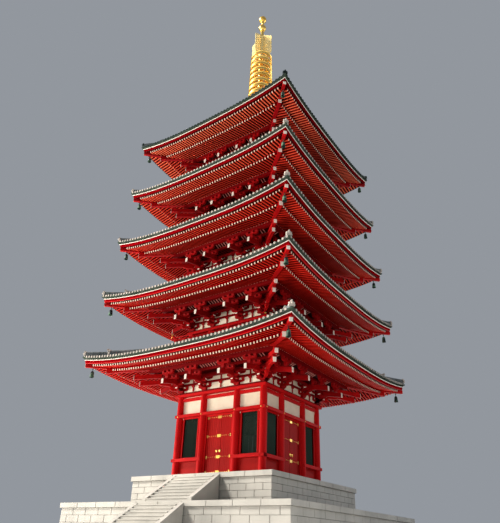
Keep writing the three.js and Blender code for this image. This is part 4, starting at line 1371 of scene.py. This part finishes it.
# The fin's edges: distance out and share of the height
FIN_FOOT = [(0.20, 0.135), (0.36, 0.07), (0.56, 0.01), (0.80, 0.0), (1.04, 0.015)]
FIN_OUTER = [(1.18, 0.06), (1.23, 0.13), (1.19, 0.20), (1.23, 0.29), (1.18, 0.37), (1.22, 0.46), (1.17, 0.54),
             (1.22, 0.63), (1.21, 0.71)]
FIN_TOP = [(1.14, 0.775), (0.96, 0.80), (0.76, 0.86), (0.50, 0.915), (0.34, 0.955), (0.24, 0.99)]
FIN_HALF, FIN_BEVEL = 0.022, 0.009
PIERCING = {"rows": 0.155, "a_row": 5, "inner": 0.36, "outer": 1.10, "lean": 0.03, "rim": 0.035}


def height_on(edge, x):
    """Height of an edge at x, on the straight lines between its points."""
    points = sorted(edge)
    for (x0, z0), (x1, z1) in zip(points, points[1:]):
        if x <= x1:
            return z0 + (z1 - z0) * (x - x0) / (x1 - x0)
    return points[-1][1]


def piercings(low, high):
    """Outlines of the leaf-shaped holes, in rows that lean one way and the other."""
    row, z = 0, low + 0.14
    inner, count, rim = PIERCING["inner"], PIERCING["a_row"], PIERCING["rim"]
    while z < high - 0.16:
        share = (z - low) / (high - low)
        for i in range(count):
            x = inner + (i + (0.5 if row % 2 else 0.0)) * (PIERCING["outer"] - inner) / count
            if height_on(FIN_FOOT, x) + rim < share < height_on(FIN_TOP, x) - rim:
                lean = PIERCING["lean"] * (1 if (i + row) % 2 else -1)
                yield [(x - 0.036, z - 0.045), (x + 0.030, z - 0.050), (x + 0.046 + lean * 0.4, z + 0.012),
                       (x + lean, z + 0.066), (x - 0.044 + lean * 0.4, z + 0.010)]
        z += PIERCING["rows"]
        row += 1


def make_flame():
    """Four fins of pierced scrollwork round a sleeve."""
    low, high = SPIRE["flame"]
    curve = bpy.data.curves.new("flame fin", "CURVE")
    curve.dimensions, curve.fill_mode = "2D", "BOTH"
    curve.extrude, curve.bevel_depth, curve.bevel_resolution = FIN_HALF, FIN_BEVEL, 0
    edge = FIN_FOOT + FIN_OUTER + FIN_TOP + [(0.20, 0.97)]
    for outline in ([(x, low + (high - low) * share) for x, share in edge], *piercings(low, high)):
        line = curve.splines.new("BEZIER")
        line.bezier_points.add(len(outline) - 1)
        for knot, (x, z) in zip(line.bezier_points, outline):
            knot.co = (x, z, 0)
            knot.handle_left_type = knot.handle_right_type = "AUTO"
        line.use_cyclic_u, line.resolution_u = True, 2
    host = bpy.data.objects.new("flame fin", curve)
    bpy.context.scene.collection.objects.link(host)
    data = bpy.data.meshes.new_from_object(host.evaluated_get(bpy.context.evaluated_depsgraph_get()))
    bpy.data.objects.remove(host)
    sheet = bmesh.new()
    sheet.from_mesh(data)
    bmesh.ops.remove_doubles(sheet, verts=sheet.verts, dist=1e-5)
    bmesh.ops.recalc_face_normals(sheet, faces=sheet.faces)
    sheet.to_mesh(data)
    sheet.free()
    points = [Vector((v.co.x, -v.co.z, v.co.y)) for v in data.vertices]
    fin = Form().add_outwards(points, [tuple(face.vertices) for face in data.polygons])
    sleeve = turned(over(SLEEVE_FOOT, low) + over(SLEEVE_HEAD, high), 24)
    # painted light: the fins take the paler copy of the gilding
    make("spire_flame", fin.four().join(sleeve), "lit_gilt", 40, replaces=("water_flame",))


def globe(middle, radius, first, last):
    """Profile of a ball between two of its twelve belts."""
    angles = [math.pi * (i / 12 - 0.5) for i in range(first, last)]
    return [(radius * math.cos(a), middle + radius * math.sin(a)) for a in angles]


def make_jewels():
    z = SPIRE["mast"] + SEAM
    ball, radius = SPIRE["ball"]
    jewel, size, tip = SPIRE["jewel"]
    profile = [(0.22, z), (0.22, z + 0.04), (0.14, z + 0.08)]
    profile += [(r, h) for r, h in globe(ball, radius, 1, 12) if h > z + 0.08]
    profile += [(0.11, ball + radius + 0.02), (0.085, ball + radius + 0.16)]
    profile += over([(0.10, -0.16), (0.19, -0.09), (0.21, -0.03), (0.17, 0.02)], jewel - size)
    profile += globe(jewel, size, 2, 10) + [(0.13, jewel + size * 0.86), (0.05, tip - 0.12), (0.0, tip)]
    make("spire_jewels", turned(profile, 32), "gilt", 60, replaces=("jewels",))


# Wind bells
BELL = {"back": 0.50, "drop": 0.12, "length": 0.58}
CORNERS = [("front_right", -45), ("back_right", 45), ("back_left", 135), ("front_left", 225)]
BELL_SKIN = [  # radius, share of the length
    (0.140, 0.80), (0.131, 0.60), (0.120, 0.42), (0.098, 0.29), (0.058, 0.215), (0.022, 0.19)]
CLAPPER = [(0.010, 0.9), (0.028, 0.86), (0.028, 0.80), (0.008, 0.76), (0.008, 0.31)]
STAPLE = {"half": 0.011, "inner": 0.025, "outer": 0.045, "top": 0.06}


def bell_form():
    """A hollow bell with a lobed mouth, a loop and a clapper, hung from the origin."""
    length = BELL["length"]
    outer = [(0.160, -length + 0.02), (0.151, -length + 0.06), *((r, -length * part) for r, part in BELL_SKIN),
             (0.018, -0.036)]
    sides = 24
    rings = []
    for radius, z in outer:
        lobe = 0.02 * max(0.0, (radius - 0.140) / 0.020)
        rings.append([(x, y, z - lobe * abs(math.cos(4 * math.pi * k / sides)))
                      for k, (x, y) in enumerate(circle(radius, sides))])
    inside = [[(x * 0.86, y * 0.86, min(z, -length * 0.30)) for x, y, z in level] for level in rings[:6]]
    form = Form().loft(inside[::-1] + rings)
    for radius, part in ((0.142, 0.80), (0.121, 0.40)):
        form.join(hoop(radius, 0.006, at(0, 0, -length * part) @ spin(QUARTER, "X"), 24, 6))
    form.join(hoop(0.029, 0.012, Matrix.Identity(4)))
    return form.join(turned([(r, -length * part) for r, part in CLAPPER], 10))


def hinge_of(storey):
    """Where a bell hangs: the distance out along the diagonal, and the height."""
    return (storey["eave"] - BELL["back"]) * ROOT, storey["z"] - BELL["drop"]


def make_bells():
    bell = bell_form()
    for index, storey in enumerate(STOREYS):
        out, hinge = hinge_of(storey)
        for corner, degrees in CORNERS:
            name = f"bell_{index + 1}_{corner}"
            hung = Form().join(bell, spin(math.radians(degrees)) @ at(out, 0, hinge))
            make(f"wind_{name}", hung, "bronze", 50, body=name, replaces=(name,))


def make_staples():
    """The square staples under the hips that the bells hang on."""
    half, outer = STAPLE["half"], STAPLE["outer"]
    for index, storey in enumerate(STOREYS):
        out, hinge = hinge_of(storey)
        staple = Form().box((out - half, -outer, hinge - half), (out + half, outer, hinge + half))
        for side in (-1, 1):
            y0, y1 = sorted((side * STAPLE["inner"], side * outer))
            staple.box((out - half, y0, hinge + half), (out + half, y1, storey["z"] + STAPLE["top"]))
        make(f"bell_staples_{index + 1}", staple.four(EIGHTH), "bronze")


make_camera()
for make_units in (make_rafter_units, make_tile_units, make_bracket_units, make_wall_units, make_balcony_units,
                   make_stone_units):
    make_units()
make_base()
make_steps()
make_floor()
make_doors(STOREYS[0])
floor_level = 0.0
for order, storey in enumerate(STOREYS):
    make_walls(storey, order + 1, floor_level + SEAM)
    make_brackets(storey, order + 1)
    make_rafters(storey, order + 1)
    make_eave_edge(storey, order + 1)
    make_hip_rafters(storey, order + 1)
    make_roof(order)
    if order:
        make_balcony(storey, order + 1, STOREYS[order - 1]["z"] + ROOF_RISE + SEAM)
    floor_level = storey["z"] + SEAT
for make_part in (make_basin, make_bowl, make_rings, make_flame, make_jewels, make_bells, make_staples):
    make_part()


# Stage: a plain pale floor, a pale sky and soft lights
def make_stage():
    half = 160
    data = bpy.data.meshes.new("floor")
    data.from_pydata([(-half, -half, 0), (half, -half, 0), (half, half, 0), (-half, half, 0)], [], [(0, 1, 2, 3)])
    floor = bpy.data.objects.new("floor", data)
    data.materials.append(Paint("pale floor", Roughness=0.8, Base_Color=rgb(0.80, 0.79, 0.77)).material)
    bpy.context.scene.collection.objects.link(floor)
    world = bpy.data.worlds.new("soft sky")
    world.use_nodes = True
    sky = world.node_tree.nodes["Background"].inputs
    sky["Color"].default_value, sky["Strength"].default_value = rgb(0.80, 0.86, 0.95), 0.36
    bpy.context.scene.world = world
    bpy.context.scene.view_settings.view_transform = "Standard"


def add_light(name, place, aim, size, watts, colour):
    data = bpy.data.lights.new(name, "AREA")
    data.shape, data.size, data.energy, data.color = "DISK", size, watts, colour
    light = bpy.data.objects.new(name, data)
    direction = Vector(aim) - Vector(place)
    light.matrix_world = Matrix.Translation(place) @ direction.to_track_quat("-Z", "Y").to_matrix().to_4x4()
    bpy.context.scene.collection.objects.link(light)


make_stage()
add_light("key", (-48, -38, 58), (0, 0, 12), 20, 125000, (1.0, 0.95, 0.88))
add_light("ground glow", (-24, -15, 0.6), (0, 0, 14), 12, 15000, (1.0, 0.93, 0.84))
add_light("back fill", (30, 36, 22), (0, 0, 12), 20, 5000, (0.92, 0.96, 1.0))

for unit in UNITS.values():
    bpy.data.objects.remove(unit)
